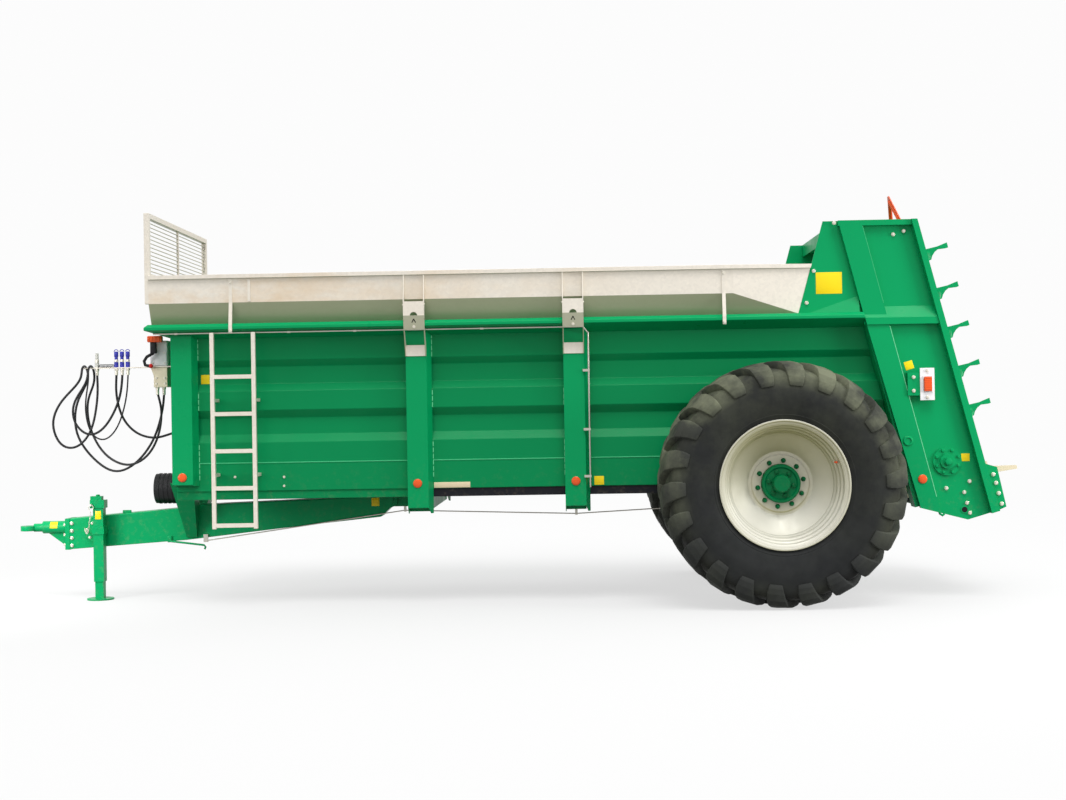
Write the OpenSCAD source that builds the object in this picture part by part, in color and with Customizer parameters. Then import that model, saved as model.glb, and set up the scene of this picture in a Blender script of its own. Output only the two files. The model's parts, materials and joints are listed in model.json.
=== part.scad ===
// Rear-discharge manure spreader: narrow tub on one axle, two leaning beaters, parked on its jack.
// Millimetres. X runs forward to the towing eye, Y to the left, Z up from the ground.

/* [Overall] */
// Length from the towing eye's tip to the rearmost spreading blade
overall_l = 7880; // [7700:10:8200]
// Distance from the tyres' rear to the rearmost spreading blade
rear_room = 1017; // [1000:1:1100]
// Distance from the front wall to the towing eye's tip
bar_reach = 1465; // [1400:5:1600]
// Thickness of the tub's sheets
sheet_t = 6; // [4:1:8]

/* [Wheels] */
// Tyre diameter over the lugs
tyre_d = 1776; // [1700:2:1800]
// Tyre width at the sidewalls
tyre_w = 640; // [600:5:660]
// Distance between the middle planes of the two tyres
track = 2360; // [2330:10:2400]
// Room between a tyre and the tub's side wall
wheel_gap = 60; // [50:1:80]
// Number of lugs on each half of the tread
lug_count = 22; // [18:1:24]
// Height of a lug over the carcass
lug_h = 45; // [30:1:55]
// Diameter of the rim over its flanges
rim_d = 934; // [900:2:960]
// Width of the rim over its flanges
rim_w = 546; // [520:2:560]
// Bore of the rim's disc, which the hub fills
hub_d = 280; // [260:1:300]
// Diameter of the axle's spindles
spindle_d = 90; // [70:1:110]

/* [Tub] */
// Height of the side walls' lower edge
tub_z = 873; // [860:1:880]
// Height of the side walls' upper edge, inside the rail
wall_top_z = 2050; // [2030:5:2070]
// Depth of the two grooves pressed into each side wall
groove_d = 45; // [25:1:60]
// Height of the floor's upper face
floor_z = 1074; // [1070:1:1080]
// How far the top rail stands out from the walls
rail_out = 180; // [150:5:200]
// Height of the top rail's upper face
rail_top_z = 2134; // [2125:1:2150]
// How far the posts stand out from the walls
post_out = 80; // [60:2:100]
// Width of the posts' outer faces
post_w = 156; // [130:2:180]

/* [Extension boards] */
// Height of the boards over the rail
board_h = 366; // [320:2:400]
// Height of the boards' leaning part
board_lean_h = 156; // [120:2:180]
// How far the boards' foot stands out from the walls
board_foot_out = 80; // [60:1:90]
// How far the boards' upright part stands out from the walls
board_out = 155; // [140:1:165]
// Thickness of the boards
board_t = 5; // [4:1:8]
// Height of the guard over the front board
guard_h = 472; // [400:4:500]

/* [Rear housing] */
// Forward lean of the beaters and the rear housing
lean = 14.2; // [12:0.1:16]
// How far the housing's plates stand out from the walls
house_out = 95; // [85:1:105]
// Height of the housing over the rail
house_h = 681; // [640:1:720]
// Width of the leaning post
lean_post_w = 163; // [140:1:180]

/* [Beaters] */
// Room between the spreading blades and the middle plane
blade_gap = 7; // [6:0.5:20]
// How much less the tines reach than the blades
tine_back = 58; // [40:1:80]
// How far the tines stand out from the flights
tine_l = 155; // [100:1:180]
// Diameter of the beaters' core tubes
core_d = 150; // [120:2:180]
// Rise of one turn of a flight
flight_pitch = 620; // [500:5:760]

/* [Drawbar] */
// Width of the drawbar
bar_w = 200; // [180:5:220]
// Bore of the towing eye
eye_bore_d = 50; // [40:1:55]
// Outer diameter of the towing eye
eye_d = 130; // [110:1:140]
// Height of the towing eye's middle
eye_z = 560; // [545:1:575]
// Diameter of the power take-off stub
stub_d = 34.9; // [30:0.1:45]
// Diameter of the guard round the stub
stub_guard_d = 238; // [220:2:260]

/* [Jack] */
// Distance from the towing eye's tip to the jack's leg
jack_back = 697; // [680:1:720]
// Size of the jack's square outer tube
jack_tube_w = 80; // [70:1:100]
// Size of the jack's square leg
jack_leg_w = 66; // [50:1:68]
// Diameter of the jack's foot plate
foot_d = 210; // [180:5:230]

/* [Ladder] */
// Width over the ladder's side rails
ladder_w = 341; // [300:5:380]
// Distance between the ladder's rungs
rung_pitch = 277; // [250:1:300]

/* [Hidden] */
$fn = 64;

// Lengths along the machine are counted from the axle
tyre_r = tyre_d / 2;
axle_z = tyre_r;
rear_x = -tyre_r - rear_room;
tip_x = overall_l + rear_x;
axle_x = -overall_l / 2 - rear_x;
front_x = tip_x - bar_reach;
wheel_y = track / 2;
skin_y = wheel_y - tyre_w / 2 - wheel_gap;
gap = 0.3;

// Heights of the side wall's folds, from the lower edge up
fold_z = [1240, 1300, 1424, 1484, 1627, 1684, 1812, 1864];

// Beaters: the leaning frame has its origin on the axes, at the gear beam's underside
house_y = skin_y + house_out;
beater_y = house_y / 2 - 2.5;
blade_r = beater_y - blade_gap;
tine_r = blade_r - tine_back;
flight_r = tine_r - tine_l;
disc_z = 172;
blade_tip_z0 = 214;
blade_tip_z1 = 242;
house_x0 = rear_x + blade_r * cos(lean) - blade_tip_z0 * sin(lean);
house_z0 = 623;
core_z0 = 132;
core_z1 = 2120;
flight_z0 = 660;
flight_z1 = 2040;
flight_t = 12;
// The inner edge is made of chords, so its corners stand a little off the core
flight_r0 = core_d / 2 + 1.2;

// Rear housing, in the leaning frame
house_top_z = rail_top_z + house_h;
gear_lx0 = -75;
gear_lx1 = 139;
gear_h = 110;
post_lx1 = 475;
post_lx0 = post_lx1 - lean_post_w;
house_lx = -94;
flange_w = 50;
post_face_y = house_y + 45;
flange_y = house_y + 70;
beam_x0 = house_x0 + 475;
beam_x1 = house_x0 + 1052;
beam_top_h = 100;

// Chassis under the tub
sill_y0 = skin_y - 100;
sill_y1 = skin_y - 10;
sill_z = 810;
sill_t = 8;
sill_rear_x = house_x0 + 652;
under_h = 110;
under_z = sill_z - under_h;
// The two posts share out the length between the tyres and the front wall
post_xs = [for (share = [0.4906, 0.1648]) tyre_r + share * (front_x - tyre_r)];
front_post_x = front_x - 73;
cross_xs = concat(post_xs, [-400]);
front_beam_z = 925;
front_beam_w = 90;
drive_z = 867;
drive_d = 72;
drive_rear_x = -430;
beam_w = 130;
beam_z1 = sill_z - 25;
// Where the inclined shaft's end meets the gear beam's face with its lower edge
gear_in = from_lean([gear_lx1 + 11.8, gear_h / 2]);

// Conveyor
shaft_rear = [house_x0 + 266, 1020];
idler_x = front_x - 120;
chain_t = 24;
chain_w = 20;
slat_h = 30;
slat_w = 60;
slat_y = skin_y - 130;
chain_r = floor_z + chain_t / 2 - shaft_rear[1];
chain_ys = [for (share = [-0.8, -0.275, 0.275, 0.8]) share * skin_y];
slat_pitch = 420;
floor_rear_x = house_x0 + 352;

// Rail section, from the wall outwards
lip_z0 = rail_top_z - 44;
lip_z1 = rail_top_z - 22;
rail_foot_z = 2030;

// Boards and guard
board_top_z = rail_top_z + board_h;
board_knee_z = rail_top_z + board_lean_h;
board_foot_y = skin_y + board_foot_out;
board_y = skin_y + board_out;
guard_top_z = board_top_z + guard_h;
board_lip = 25;
front_board_x = front_x + 130;

// Front fittings
rack_y = 500;
rack_z = 1834;
rack_t = 8;

/* Helpers */
module from_axle() translate([axle_x, 0, 0]) children();
module along_x(x0, x1) translate([x0, 0, 0]) rotate([90, 0, 90]) linear_extrude(x1 - x0) children();
module along_y(y0, y1) translate([0, y1, 0]) rotate([90, 0, 0]) linear_extrude(y1 - y0) children();
module box(lo, hi) translate(lo) cube(hi - lo);
module right() mirror([0, 1, 0]) children();
module both() {
    children();
    right() children();
}
module rod(a, b, d) {
    v = b - a;
    translate(a) rotate([0, acos(v[2] / norm(v)), atan2(v[1], v[0])]) cylinder(d = d, h = norm(v));
}
// Rods from point to point
module rods(points, d) for (i = [1:len(points) - 1]) rod(points[i - 1], points[i], d);
module pin_y(x, y0, y1, z, d) translate([x, y0, z]) rotate([-90, 0, 0]) cylinder(d = d, h = y1 - y0);
module pin_x(x0, x1, z, d) translate([x0, 0, z]) rotate([0, 90, 0]) cylinder(d = d, h = x1 - x0);
module leaning() translate([house_x0, 0, house_z0]) rotate([0, lean, 0]) children();
function lean_x(lx, z) = house_x0 + lx / cos(lean) + (z - house_z0) * tan(lean);
function from_lean(p) = [
    house_x0 + p[0] * cos(lean) + p[1] * sin(lean),
    house_z0 - p[0] * sin(lean) + p[1] * cos(lean),
];
function folded(points, t) = concat(points, [for (i = [len(points) - 1:-1:0]) points[i] - [t, 0]]);
function rail_under(y) = rail_foot_z + (y - skin_y) * (lip_z0 - rail_foot_z) / rail_out;
function at(route, i) = route[max(0, min(len(route) - 1, i))];
function unit(v) = v / norm(v);

// Skin of triangles over rings of points, each ring with as many points as the next.
// A closed one joins its last ring to its first, and another one is capped at both ends.
module skin(rings, closed = false) {
    n = len(rings);
    m = len(rings[0]);
    bands = closed ? n : n - 1;
    polyhedron([for (r = rings) each r], concat(
        [for (i = [0:bands - 1], k = [0:m - 1])
            let (a = i * m, c = (i + 1) % n * m, b = (k + 1) % m) [a + k, a + b, c + b]],
        [for (i = [0:bands - 1], k = [0:m - 1])
            let (a = i * m, c = (i + 1) % n * m, b = (k + 1) % m) [a + k, c + b, c + k]],
        closed ? [] : [for (k = [1:m - 2]) [0, k + 1, k]],
        closed ? [] : [for (k = [1:m - 2]) [(n - 1) * m, (n - 1) * m + k, (n - 1) * m + k + 1]]
    ));
}

// Chassis
module sills() color("#1d6f4c") from_axle() both()
    along_x(sill_rear_x, front_x - sheet_t) polygon([
        [sill_y1, sill_z], [sill_y1, floor_z - sheet_t], [sill_y0, floor_z - sheet_t],
        [sill_y0, floor_z - sheet_t - sill_t], [sill_y1 - sill_t, floor_z - sheet_t - sill_t],
        [sill_y1 - sill_t, sill_z + sill_t], [sill_y0, sill_z + sill_t], [sill_y0, sill_z],
    ]);

module cross_members() color("#1d6f4c") from_axle() {
    difference() {
        for (x = cross_xs) {
            box([x - post_w / 2, -skin_y, under_z], [x + post_w / 2, skin_y, sill_z]);
            box([x - 30, -50, sill_z - 5], [x + 30, 50, drive_z]);
        }
        pin_x(drive_rear_x - 570, front_x, drive_z, drive_d + 2 * gap);
    }
    box([front_x, 300 - skin_y, front_beam_z], [front_x + front_beam_w, skin_y - 300, front_beam_z + 115]);
}

bar_end_x = tip_x - 427;
pivot_x = post_xs[0] + 309;
pivot_z = 750;
module drawbar() color("#189e5c") from_axle() along_y(-bar_w / 2, bar_w / 2) polygon([
    [bar_end_x, 640], [front_x + 136, 712], [front_x + 7, 734], [pivot_x + 66, 784], [pivot_x - 29, 818],
    [pivot_x - 89, 770], [pivot_x - 29, 710], [pivot_x + 66, 618],
    [pivot_x + 66 + 0.417 * (front_x + 26 - pivot_x), 554], [front_x + 92, 456], [bar_end_x, 395],
]);

module drawbar_pivot() color("#189e5c") from_axle() both() {
    box([post_xs[0] + post_w / 2, bar_w / 2, under_z], [pivot_x + 36, bar_w / 2 + 20, sill_z + 40]);
    pin_y(pivot_x - 15, bar_w / 2 + 19, bar_w / 2 + 50, pivot_z, 110);
    pin_y(pivot_x - 15, bar_w / 2 + 49, bar_w / 2 + 66, pivot_z, 52);
}

// Two legs from the front beam down to the drawbar's sides, narrower below
module drawbar_hanger() color("#189e5c") from_axle() both() intersection() {
    along_x(front_x - 60, front_x + 160) polygon([
        [bar_w / 2, 480], [bar_w / 2 + 20, 480], [bar_w / 2 + 320, front_beam_z],
        [bar_w / 2 + 200, front_beam_z], [bar_w / 2, 700],
    ]);
    along_y(0, skin_y) polygon([
        [front_x + 6, 480], [front_x + 88, 480], [front_x + 140, front_beam_z], [front_x - 42, front_beam_z],
    ]);
}

module towing_eye() color("#189e5c") from_axle() difference() {
    union() {
        box([bar_end_x, -bar_w / 2, 391], [bar_end_x + 37, bar_w / 2, 640]);
        pin_x(bar_end_x + 37, bar_end_x + 242, 567, 100);
        pin_x(bar_end_x + 241, tip_x - eye_d + 20, 565, 66);
        translate([tip_x - eye_d / 2, 0, eye_z - 20]) cylinder(d = eye_d, h = 40);
        along_y(-10, 10) polygon([
            [bar_end_x + 37, 400], [bar_end_x + 232, 545], [bar_end_x + 37, 545],
        ]);
    }
    translate([tip_x - eye_d / 2, 0, eye_z - 60]) cylinder(d = eye_bore_d, h = 120);
}

module axle() color("#20262a") from_axle() {
    box([-beam_w / 2, -wheel_y + 215, beam_z1 - beam_w], [beam_w / 2, wheel_y - 215, beam_z1]);
    both() {
        box([-80, wheel_y - 250, beam_z1 - beam_w], [80, wheel_y - 215, axle_z + 75]);
        pin_y(0, wheel_y - 220, wheel_y + 70, axle_z, spindle_d);
        box([-110, sill_y0, beam_z1], [110, sill_y1, sill_z]);
    }
}

// Parking brake's wire from a bracket on the drawbar, through two eyes, to the axle
cable_y = bar_w / 2 + 10;
module brake_cable() color("#8d8d88") from_axle() {
    eye_1 = [post_xs[0] + 182, cable_y, 667];
    eye_2 = [post_xs[1], cable_y, 622];
    rod([front_x - 60, cable_y, 448], eye_1 + [5, 0, 0], 9);
    rod(eye_1 - [5, 0, 0], eye_2 + [5, 0, 0], 9);
    rod(eye_2 - [5, 0, 0], [beam_w / 2, cable_y, 690], 9);
    box([front_x - 80, cable_y - 10, 438], [front_x - 45, cable_y + 8, 500]);
    for (eye = [eye_1, eye_2]) box(eye - [10, 8, 10], [eye[0] + 10, eye[1] + 8, under_z]);
}

// Floor and conveyor
module floor() color("#4f5450") from_axle()
    translate([0, 0, floor_z - sheet_t]) linear_extrude(sheet_t) polygon([
        [idler_x - 40, sheet_t - skin_y], [idler_x - 40, skin_y - sheet_t], [sill_rear_x, skin_y - sheet_t],
        [sill_rear_x, sill_y0], [floor_rear_x, sill_y0], [floor_rear_x, -sill_y0], [sill_rear_x, -sill_y0],
        [sill_rear_x, sheet_t - skin_y],
    ]);

// Loop round both shafts, filled, with its middle on the given plane
module chain_loop(y, r, w) {
    box([shaft_rear[0], y - w / 2, shaft_rear[1] - r], [idler_x, y + w / 2, shaft_rear[1] + r]);
    for (x = [shaft_rear[0], idler_x]) pin_y(x, y - w / 2, y + w / 2, shaft_rear[1], 2 * r);
}
module conveyor() color("#5b5148") from_axle() {
    for (y = chain_ys) {
        difference() {
            chain_loop(y, chain_r + chain_t / 2, chain_w);
            chain_loop(y, chain_r - chain_t / 2, chain_w + 2);
        }
        for (x = [shaft_rear[0], idler_x])
            pin_y(x, y - chain_w / 2, y + chain_w / 2, shaft_rear[1], 2 * chain_r - chain_t + 2);
    }
    for (x = [shaft_rear[0] + 100:slat_pitch:idler_x - 60], z = [floor_z, 2 * shaft_rear[1] - floor_z - slat_h])
        box([x, -slat_y, z], [x + slat_w, slat_y, z + slat_h]);
    pin_y(shaft_rear[0], -house_y, house_y, shaft_rear[1], 60);
    pin_y(idler_x, -sill_y1 + sill_t, sill_y1 - sill_t, shaft_rear[1], 60);
}

module driveline() color("#2b2d2c") from_axle() {
    pin_x(drive_rear_x, front_x + 110, drive_z, drive_d);
    pin_x(front_x + 100, front_x + 330, drive_z, stub_d);
    rod([drive_rear_x, 0, drive_z], [gear_in[0], 0, gear_in[1]], 50);
    translate([drive_rear_x, 0, drive_z]) sphere(d = drive_d);
}

guard_l = 262;
module stub_guard() color("#1b1c1c") from_axle() translate([front_x + front_beam_w, 0, 0]) difference() {
    union() {
        pin_x(0, guard_l, drive_z, stub_guard_d);
        for (x = [50:36:guard_l - 15]) pin_x(x - 8, x + 8, drive_z, stub_guard_d + 8);
    }
    pin_x(8, guard_l + 1, drive_z, stub_guard_d - 16);
    pin_x(-1, 20, drive_z, 100);
}

// Tub
module side_wall() from_axle() difference() {
    along_x(house_x0 + 330, front_x - sheet_t) polygon(folded([
        [skin_y, tub_z], [skin_y, fold_z[0]], [skin_y - groove_d, fold_z[1]], [skin_y - groove_d, fold_z[2]],
        [skin_y, fold_z[3]], [skin_y, fold_z[4]], [skin_y - groove_d, fold_z[5]],
        [skin_y - groove_d, fold_z[6]], [skin_y, fold_z[7]], [skin_y, wall_top_z],
    ], sheet_t));
    leaning() box([-900, 0, -200], [post_lx1, 2 * skin_y, 2600]);
}
module side_wall_left() color("#189e5c") side_wall();
module side_wall_right() color("#189e5c") right() side_wall();

module front_wall() color("#189e5c") from_axle() {
    box([front_x - sheet_t, -skin_y, front_beam_z + 5], [front_x, skin_y, wall_top_z]);
    both() box([front_x, 300, front_beam_z + 115], [front_x + 60, 360, rail_foot_z]);
}

post_y = skin_y + post_out;
module post(x, z0, cut) intersection() {
    linear_extrude(rail_top_z) polygon([
        [x + post_w / 2, skin_y], [x + post_w / 2, post_y], [x - post_w / 2, post_y],
        [x - post_w / 2 - 32, skin_y], [x - post_w / 2 - 25, skin_y],
        [x - post_w / 2 + 4, post_y - sheet_t], [x + post_w / 2 - sheet_t, post_y - sheet_t],
        [x + post_w / 2 - sheet_t, skin_y],
    ]);
    along_x(x - post_w, x + post_w) polygon([
        [skin_y, z0], [post_y - cut, z0], [post_y, z0 + cut], [post_y, rail_under(post_y)],
        [skin_y, rail_foot_z],
    ]);
}
module posts() color("#189e5c") from_axle() both() {
    for (x = post_xs) post(x, under_z - 13, 45);
    post(front_post_x, front_beam_z - 5, 10);
}

// Folded rim round the tub's upper edge, given by its distance from the wall's outer face
rail_points = [
    [0, rail_foot_z], [rail_out, lip_z0], [rail_out, lip_z1], [rail_out - 25, rail_top_z],
    [-sheet_t, rail_top_z], [-sheet_t, wall_top_z], [0, wall_top_z],
];
// The mitre's plane at the front corners, as a half seen from above
module mitre(inside) translate([0, 0, rail_foot_z - 30]) linear_extrude(300) polygon([
    [front_x - 100, skin_y - 100], [front_x + 300, skin_y + 300],
    inside ? [front_x + 300, -skin_y - 300] : [house_x0, skin_y + 300],
    inside ? [front_x - 100, -skin_y + 100] : [house_x0, skin_y - 100],
]);
module top_rail() color("#189e5c") from_axle() {
    both() intersection() {
        difference() {
            along_x(house_x0 + 330, front_x + rail_out) polygon([for (p = rail_points) p + [skin_y, 0]]);
            leaning() box([-900, 0, -200], [post_lx1, 2 * skin_y, 2600]);
        }
        mitre(false);
    }
    intersection() {
        along_y(-skin_y - rail_out, skin_y + rail_out) polygon([for (p = rail_points) p + [front_x, 0]]);
        mitre(true);
    }
}

// Pipe under the left rail and down behind a post, with its clips
pipe_d = 13;
pipe_y = skin_y + 130;
pipe_down_y = post_y + 13;
pipe_down_x = post_xs[1] - 110;
module brake_pipe() color("#b9b6ac") from_axle() {
    pipe_z = rail_under(pipe_y) - 8;
    corners = [[pipe_down_x + 40, pipe_y, pipe_z], [pipe_down_x, pipe_down_y, pipe_z - 45]];
    rods(concat([[front_x + 120, pipe_y, pipe_z]], corners, [[pipe_down_x, pipe_down_y, tub_z - 5]]), pipe_d);
    for (corner = corners) translate(corner) sphere(d = pipe_d + 4);
    for (x = [front_x - 52, front_x - 900, post_xs[0] - 500, post_xs[0] + 450])
        box([x - 12, pipe_y - 9, pipe_z - 9], [x + 12, pipe_y + 7, rail_under(pipe_y - 9) - gap]);
    for (z = [950, 1300, 1740])
        box([pipe_down_x - 8, post_y + gap, z - 9], [pipe_down_x + 44, pipe_down_y + 8, z + 9]);
}

// Extension boards
board_kink_x = house_x0 + 1830;
function ear_x(z) = house_x0 + 1343 - (z - rail_top_z) * 190 / house_h;
// Narrow strip along the housing plate's front edge
module board_end(z0, z1) polygon([
    [ear_x(z0) + gap, z0], [ear_x(z0) + 1 + gap, z0], [ear_x(z1) + 1 + gap, z1], [ear_x(z1) + gap, z1],
]);
module board() from_axle() {
    along_x(board_kink_x, front_board_x + 15) polygon([
        [board_foot_y, rail_top_z], [board_y, board_knee_z], [board_y, board_top_z - 30],
        [board_y + board_lip, board_top_z - 30], [board_y + board_lip, board_top_z],
        [board_y - board_t, board_top_z], [board_y - board_t, board_knee_z],
        [board_foot_y - board_t, rail_top_z],
    ]);
    hull() {
        box([board_kink_x - 1, board_y - board_t, board_knee_z], [board_kink_x, board_y, board_top_z]);
        along_y(house_y, house_y + board_t) board_end(rail_top_z, board_top_z);
    }
    hull() {
        along_x(board_kink_x - 1, board_kink_x) polygon([
            [board_foot_y, rail_top_z], [board_y, board_knee_z],
            [board_y - board_t, board_knee_z], [board_foot_y - board_t, rail_top_z],
        ]);
        along_y(house_y, house_y + board_t) board_end(rail_top_z, rail_top_z + 1);
    }
    hull() {
        box([board_kink_x - 1, board_y - board_t, board_top_z - 30],
            [board_kink_x, board_y + board_lip, board_top_z]);
        along_y(house_y, house_y + 30) board_end(board_top_z - 30, board_top_z);
    }
}
module board_left() color("#e1d7c8") board();
module board_right() color("#e1d7c8") right() board();
module board_front() color("#e1d7c8") from_axle() along_x(front_board_x, front_board_x + board_t) polygon([
    [board_foot_y - board_t, rail_top_z], [board_y - board_t, board_knee_z],
    [board_y - board_t, board_top_z], [-board_y + board_t, board_top_z],
    [-board_y + board_t, board_knee_z], [-board_foot_y + board_t, rail_top_z],
]);

// Bracket over a post: two side plates, a notched upper plate, a slanted one and a foot on the post
rail_y = skin_y + rail_out;
module bracket(x) {
    for (dx = [-post_w / 2, post_w / 2 - 6])
        along_x(x + dx, x + dx + 6) polygon([
            [board_y, board_top_z - 32], [board_y + 23, board_top_z - 32], [rail_y + 36, board_knee_z - 20],
            [rail_y + 36, rail_top_z + 31], [rail_y + 12, lip_z0 - 28], [post_y + 20, lip_z0 - 222],
            [post_y, lip_z0 - 222], [post_y, lip_z0 - 135], [rail_y + 2, lip_z0 - 8],
            [rail_y + 2, rail_top_z + 6], [board_y, board_knee_z],
        ]);
    difference() {
        box([x - post_w / 2, rail_y + 30, rail_top_z + 31], [x + post_w / 2, rail_y + 36, rail_top_z + 136]);
        pin_y(x, rail_y + 20, rail_y + 50, rail_top_z + 29, 56);
    }
    box([x - post_w / 2, post_y, lip_z0 - 222], [x + post_w / 2, post_y + 6, lip_z0 - 140]);
    along_x(x - post_w / 2, x + post_w / 2) polygon([
        [rail_y + 30, rail_top_z + 31], [rail_y + 36, rail_top_z + 31],
        [rail_y + 12, lip_z0 - 28], [rail_y + 6, lip_z0 - 28],
    ]);
}
// Strap from the board down over the rail's lip
module stay(x) along_x(x - 13, x + 13) polygon([
    [board_y, board_top_z - 32], [board_y + 8, board_top_z - 32], [board_y + 8, board_knee_z],
    [rail_y + 8, lip_z1 + 8], [rail_y + 8, lip_z0 - 30], [rail_y, lip_z0 - 30], [rail_y, lip_z1 + 4],
    [board_y, board_knee_z - 4],
]);
module board_brackets() color("#e1d7c8") from_axle() both() {
    for (x = post_xs) bracket(x);
    stay(front_x - 473);
    stay(board_kink_x + 69);
    box([front_x - 624, board_y, board_knee_z + 7], [front_x - 602, board_y + 10, board_top_z - 39]);
}

guard_y = board_y - board_t;
module guard() color("#cfc8bc") from_axle() translate([front_board_x + board_t, 0, 0]) {
    both() box([0, guard_y - 40, board_knee_z], [40, guard_y, guard_top_z]);
    box([0, -guard_y, guard_top_z - 40], [40, guard_y, guard_top_z]);
    box([0, -guard_y, board_top_z - 10], [40, guard_y, board_top_z + 20]);
    box([12, -12, board_top_z], [28, 12, guard_top_z - 20]);
    for (z = [board_top_z + 45:30:guard_top_z - 50]) pin_y(20, 20 - guard_y, guard_y - 20, z, 8);
}

// Ladder on the left side
ladder_x = front_x - 655;
ladder_y0 = skin_y + 155;
ladder_y1 = skin_y + 185;
ladder_rail_w = 30;
module ladder() color("#e1d7c8") from_axle() {
    for (x = [ladder_x, ladder_x + ladder_w - ladder_rail_w]) {
        box([x, ladder_y0, 600], [x + ladder_rail_w, ladder_y1, lip_z0 - 25]);
        for (z = [1000, 1560]) box([x + 3, skin_y, z - 12], [x + ladder_rail_w - 3, ladder_y0, z + 12]);
    }
    for (i = [0:4])
        box([ladder_x + ladder_rail_w, ladder_y0, 612 + i * rung_pitch],
            [ladder_x + ladder_w - ladder_rail_w, ladder_y1, 642 + i * rung_pitch]);
}

// Rear housing
house_outline = [
    [house_x0 + 473, 678], [house_x0 + 120, 585], [house_x0 - 102, 650], [lean_x(house_lx, 1001), 1001],
    [lean_x(house_lx + 8, house_top_z), house_top_z], [ear_x(house_top_z), house_top_z],
    [ear_x(rail_top_z), rail_top_z], [lean_x(post_lx1, rail_top_z), rail_top_z],
];
gusset_x = lean_x(post_lx1, rail_top_z + 100);
module rear_side() from_axle() {
    along_y(house_y, house_y + sheet_t) polygon(house_outline);
    // leaning post, rear flange, top flange and the shelf between them
    intersection() {
        along_y(house_y, flange_y) polygon(house_outline);
        union() {
            leaning() box([post_lx0, house_y, 0], [post_lx1, post_face_y, 2600]);
            leaning() box([house_lx - 60, house_y, -50], [house_lx + flange_w, flange_y, 2600]);
            box([beam_x0 - 100, house_y, house_top_z - 40],
                [lean_x(post_lx1, house_top_z), post_face_y, house_top_z]);
            intersection() {
                along_x(house_x0 - 300, house_x0 + 1300) polygon([
                    [house_y, rail_top_z + 51], [house_y + 60, lip_z0], [house_y + 60, lip_z0 - 50],
                    [house_y, lip_z0 - 50],
                ]);
                leaning() box([house_lx, house_y, 0], [post_lx1, flange_y, 2600]);
            }
        }
    }
    // gusset from the rail up to the post
    polyhedron([
        [ear_x(rail_top_z) - 30, house_y, rail_top_z], [gusset_x, house_y, rail_top_z],
        [gusset_x, rail_y - 30, rail_top_z], [gusset_x, house_y, rail_top_z + 140],
    ], [[0, 2, 1], [0, 3, 2], [0, 1, 3], [1, 2, 3]]);
    // step between tub and housing, rear bracket, shaft bearing and lamp bracket
    leaning() box([post_lx1 - sheet_t, skin_y - groove_d - sheet_t, 180], [post_lx1, house_y, 1590]);
    leaning() box([post_lx1 - 80, house_y - sheet_t, 180], [post_lx1, house_y + 1, 1590]);
    along_y(house_y, house_y + 12) polygon([
        [lean_x(house_lx, 1001) + 1, 1001], [house_x0 - 99, 971], [house_x0 - 163, 677], [house_x0 - 101, 650],
    ]);
    pin_y(shaft_rear[0], house_y + 1, house_y + 20, shaft_rear[1], 210);
    pin_y(shaft_rear[0], house_y + 19, house_y + 40, shaft_rear[1], 110);
    pin_y(shaft_rear[0], house_y + 39, house_y + 54, shaft_rear[1], 62);
    box([house_x0 + 452, house_y + 1, 1510], [lean_x(post_lx0, 1510) + 10, house_y + 60, 1680]);
}
module rear_side_left() color("#189e5c") rear_side();
module rear_side_right() color("#189e5c") right() rear_side();

module rear_top_beam() color("#189e5c") from_axle() difference() {
    beam_z0 = house_top_z - beam_top_h;
    union() {
        difference() {
            box([beam_x0, -house_y, beam_z0], [beam_x1, house_y, house_top_z]);
            box([beam_x0 + 8, -house_y - 1, beam_z0 - 1], [beam_x1 - 8, house_y + 1, house_top_z - 8]);
        }
        both() box([beam_x0, beater_y - 110, beam_z0], [beam_x1, beater_y + 110, beam_z0 + 12]);
        both() leaning() translate([0, beater_y, core_z1 + 8]) cylinder(d = 130, h = 80);
    }
    both() leaning() translate([0, beater_y, core_z1 - 20]) cylinder(d = 61, h = 80);
}

module gear_beam() color("#189e5c") from_axle() leaning() difference() {
    union() {
        box([gear_lx0, -house_y, 0], [gear_lx1, house_y, gear_h]);
        both() translate([0, beater_y, gear_h - 10]) cylinder(d = 180, h = 25);
    }
    both() translate([0, beater_y, gear_h - 30]) cylinder(d = 81, h = 60);
}

// Warning triangle, leaning with the housing, on a bracket behind the top beam
marker_h = 314;
marker_w = 362;
marker_turn = 9;
module marker() color("#e8501c") from_axle() {
    leaning() translate([house_lx - 40, 0, core_z1 + 92]) rotate([0, 0, marker_turn]) along_x(-4, 4)
        difference() {
            polygon([[-marker_w / 2, 0], [marker_w / 2, 0], [14, marker_h], [-14, marker_h]]);
            translate([0, 42]) polygon([[-104, 0], [104, 0], [0, 180]]);
        }
    box([beam_x0 - 80, -30, house_top_z - 22], [beam_x0, 30, house_top_z - 2]);
}

lamp_y = house_y + 60;
module lamp_boards() color("#d9d6cc") from_axle() both()
    box([house_x0 + 361, lamp_y, 1474], [house_x0 + 467, lamp_y + 6, 1712]);
module lamps() color("#e2761c") from_axle() both()
    box([house_x0 + 384, lamp_y + 6, 1541], [house_x0 + 440, lamp_y + 30, 1645]);

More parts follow.
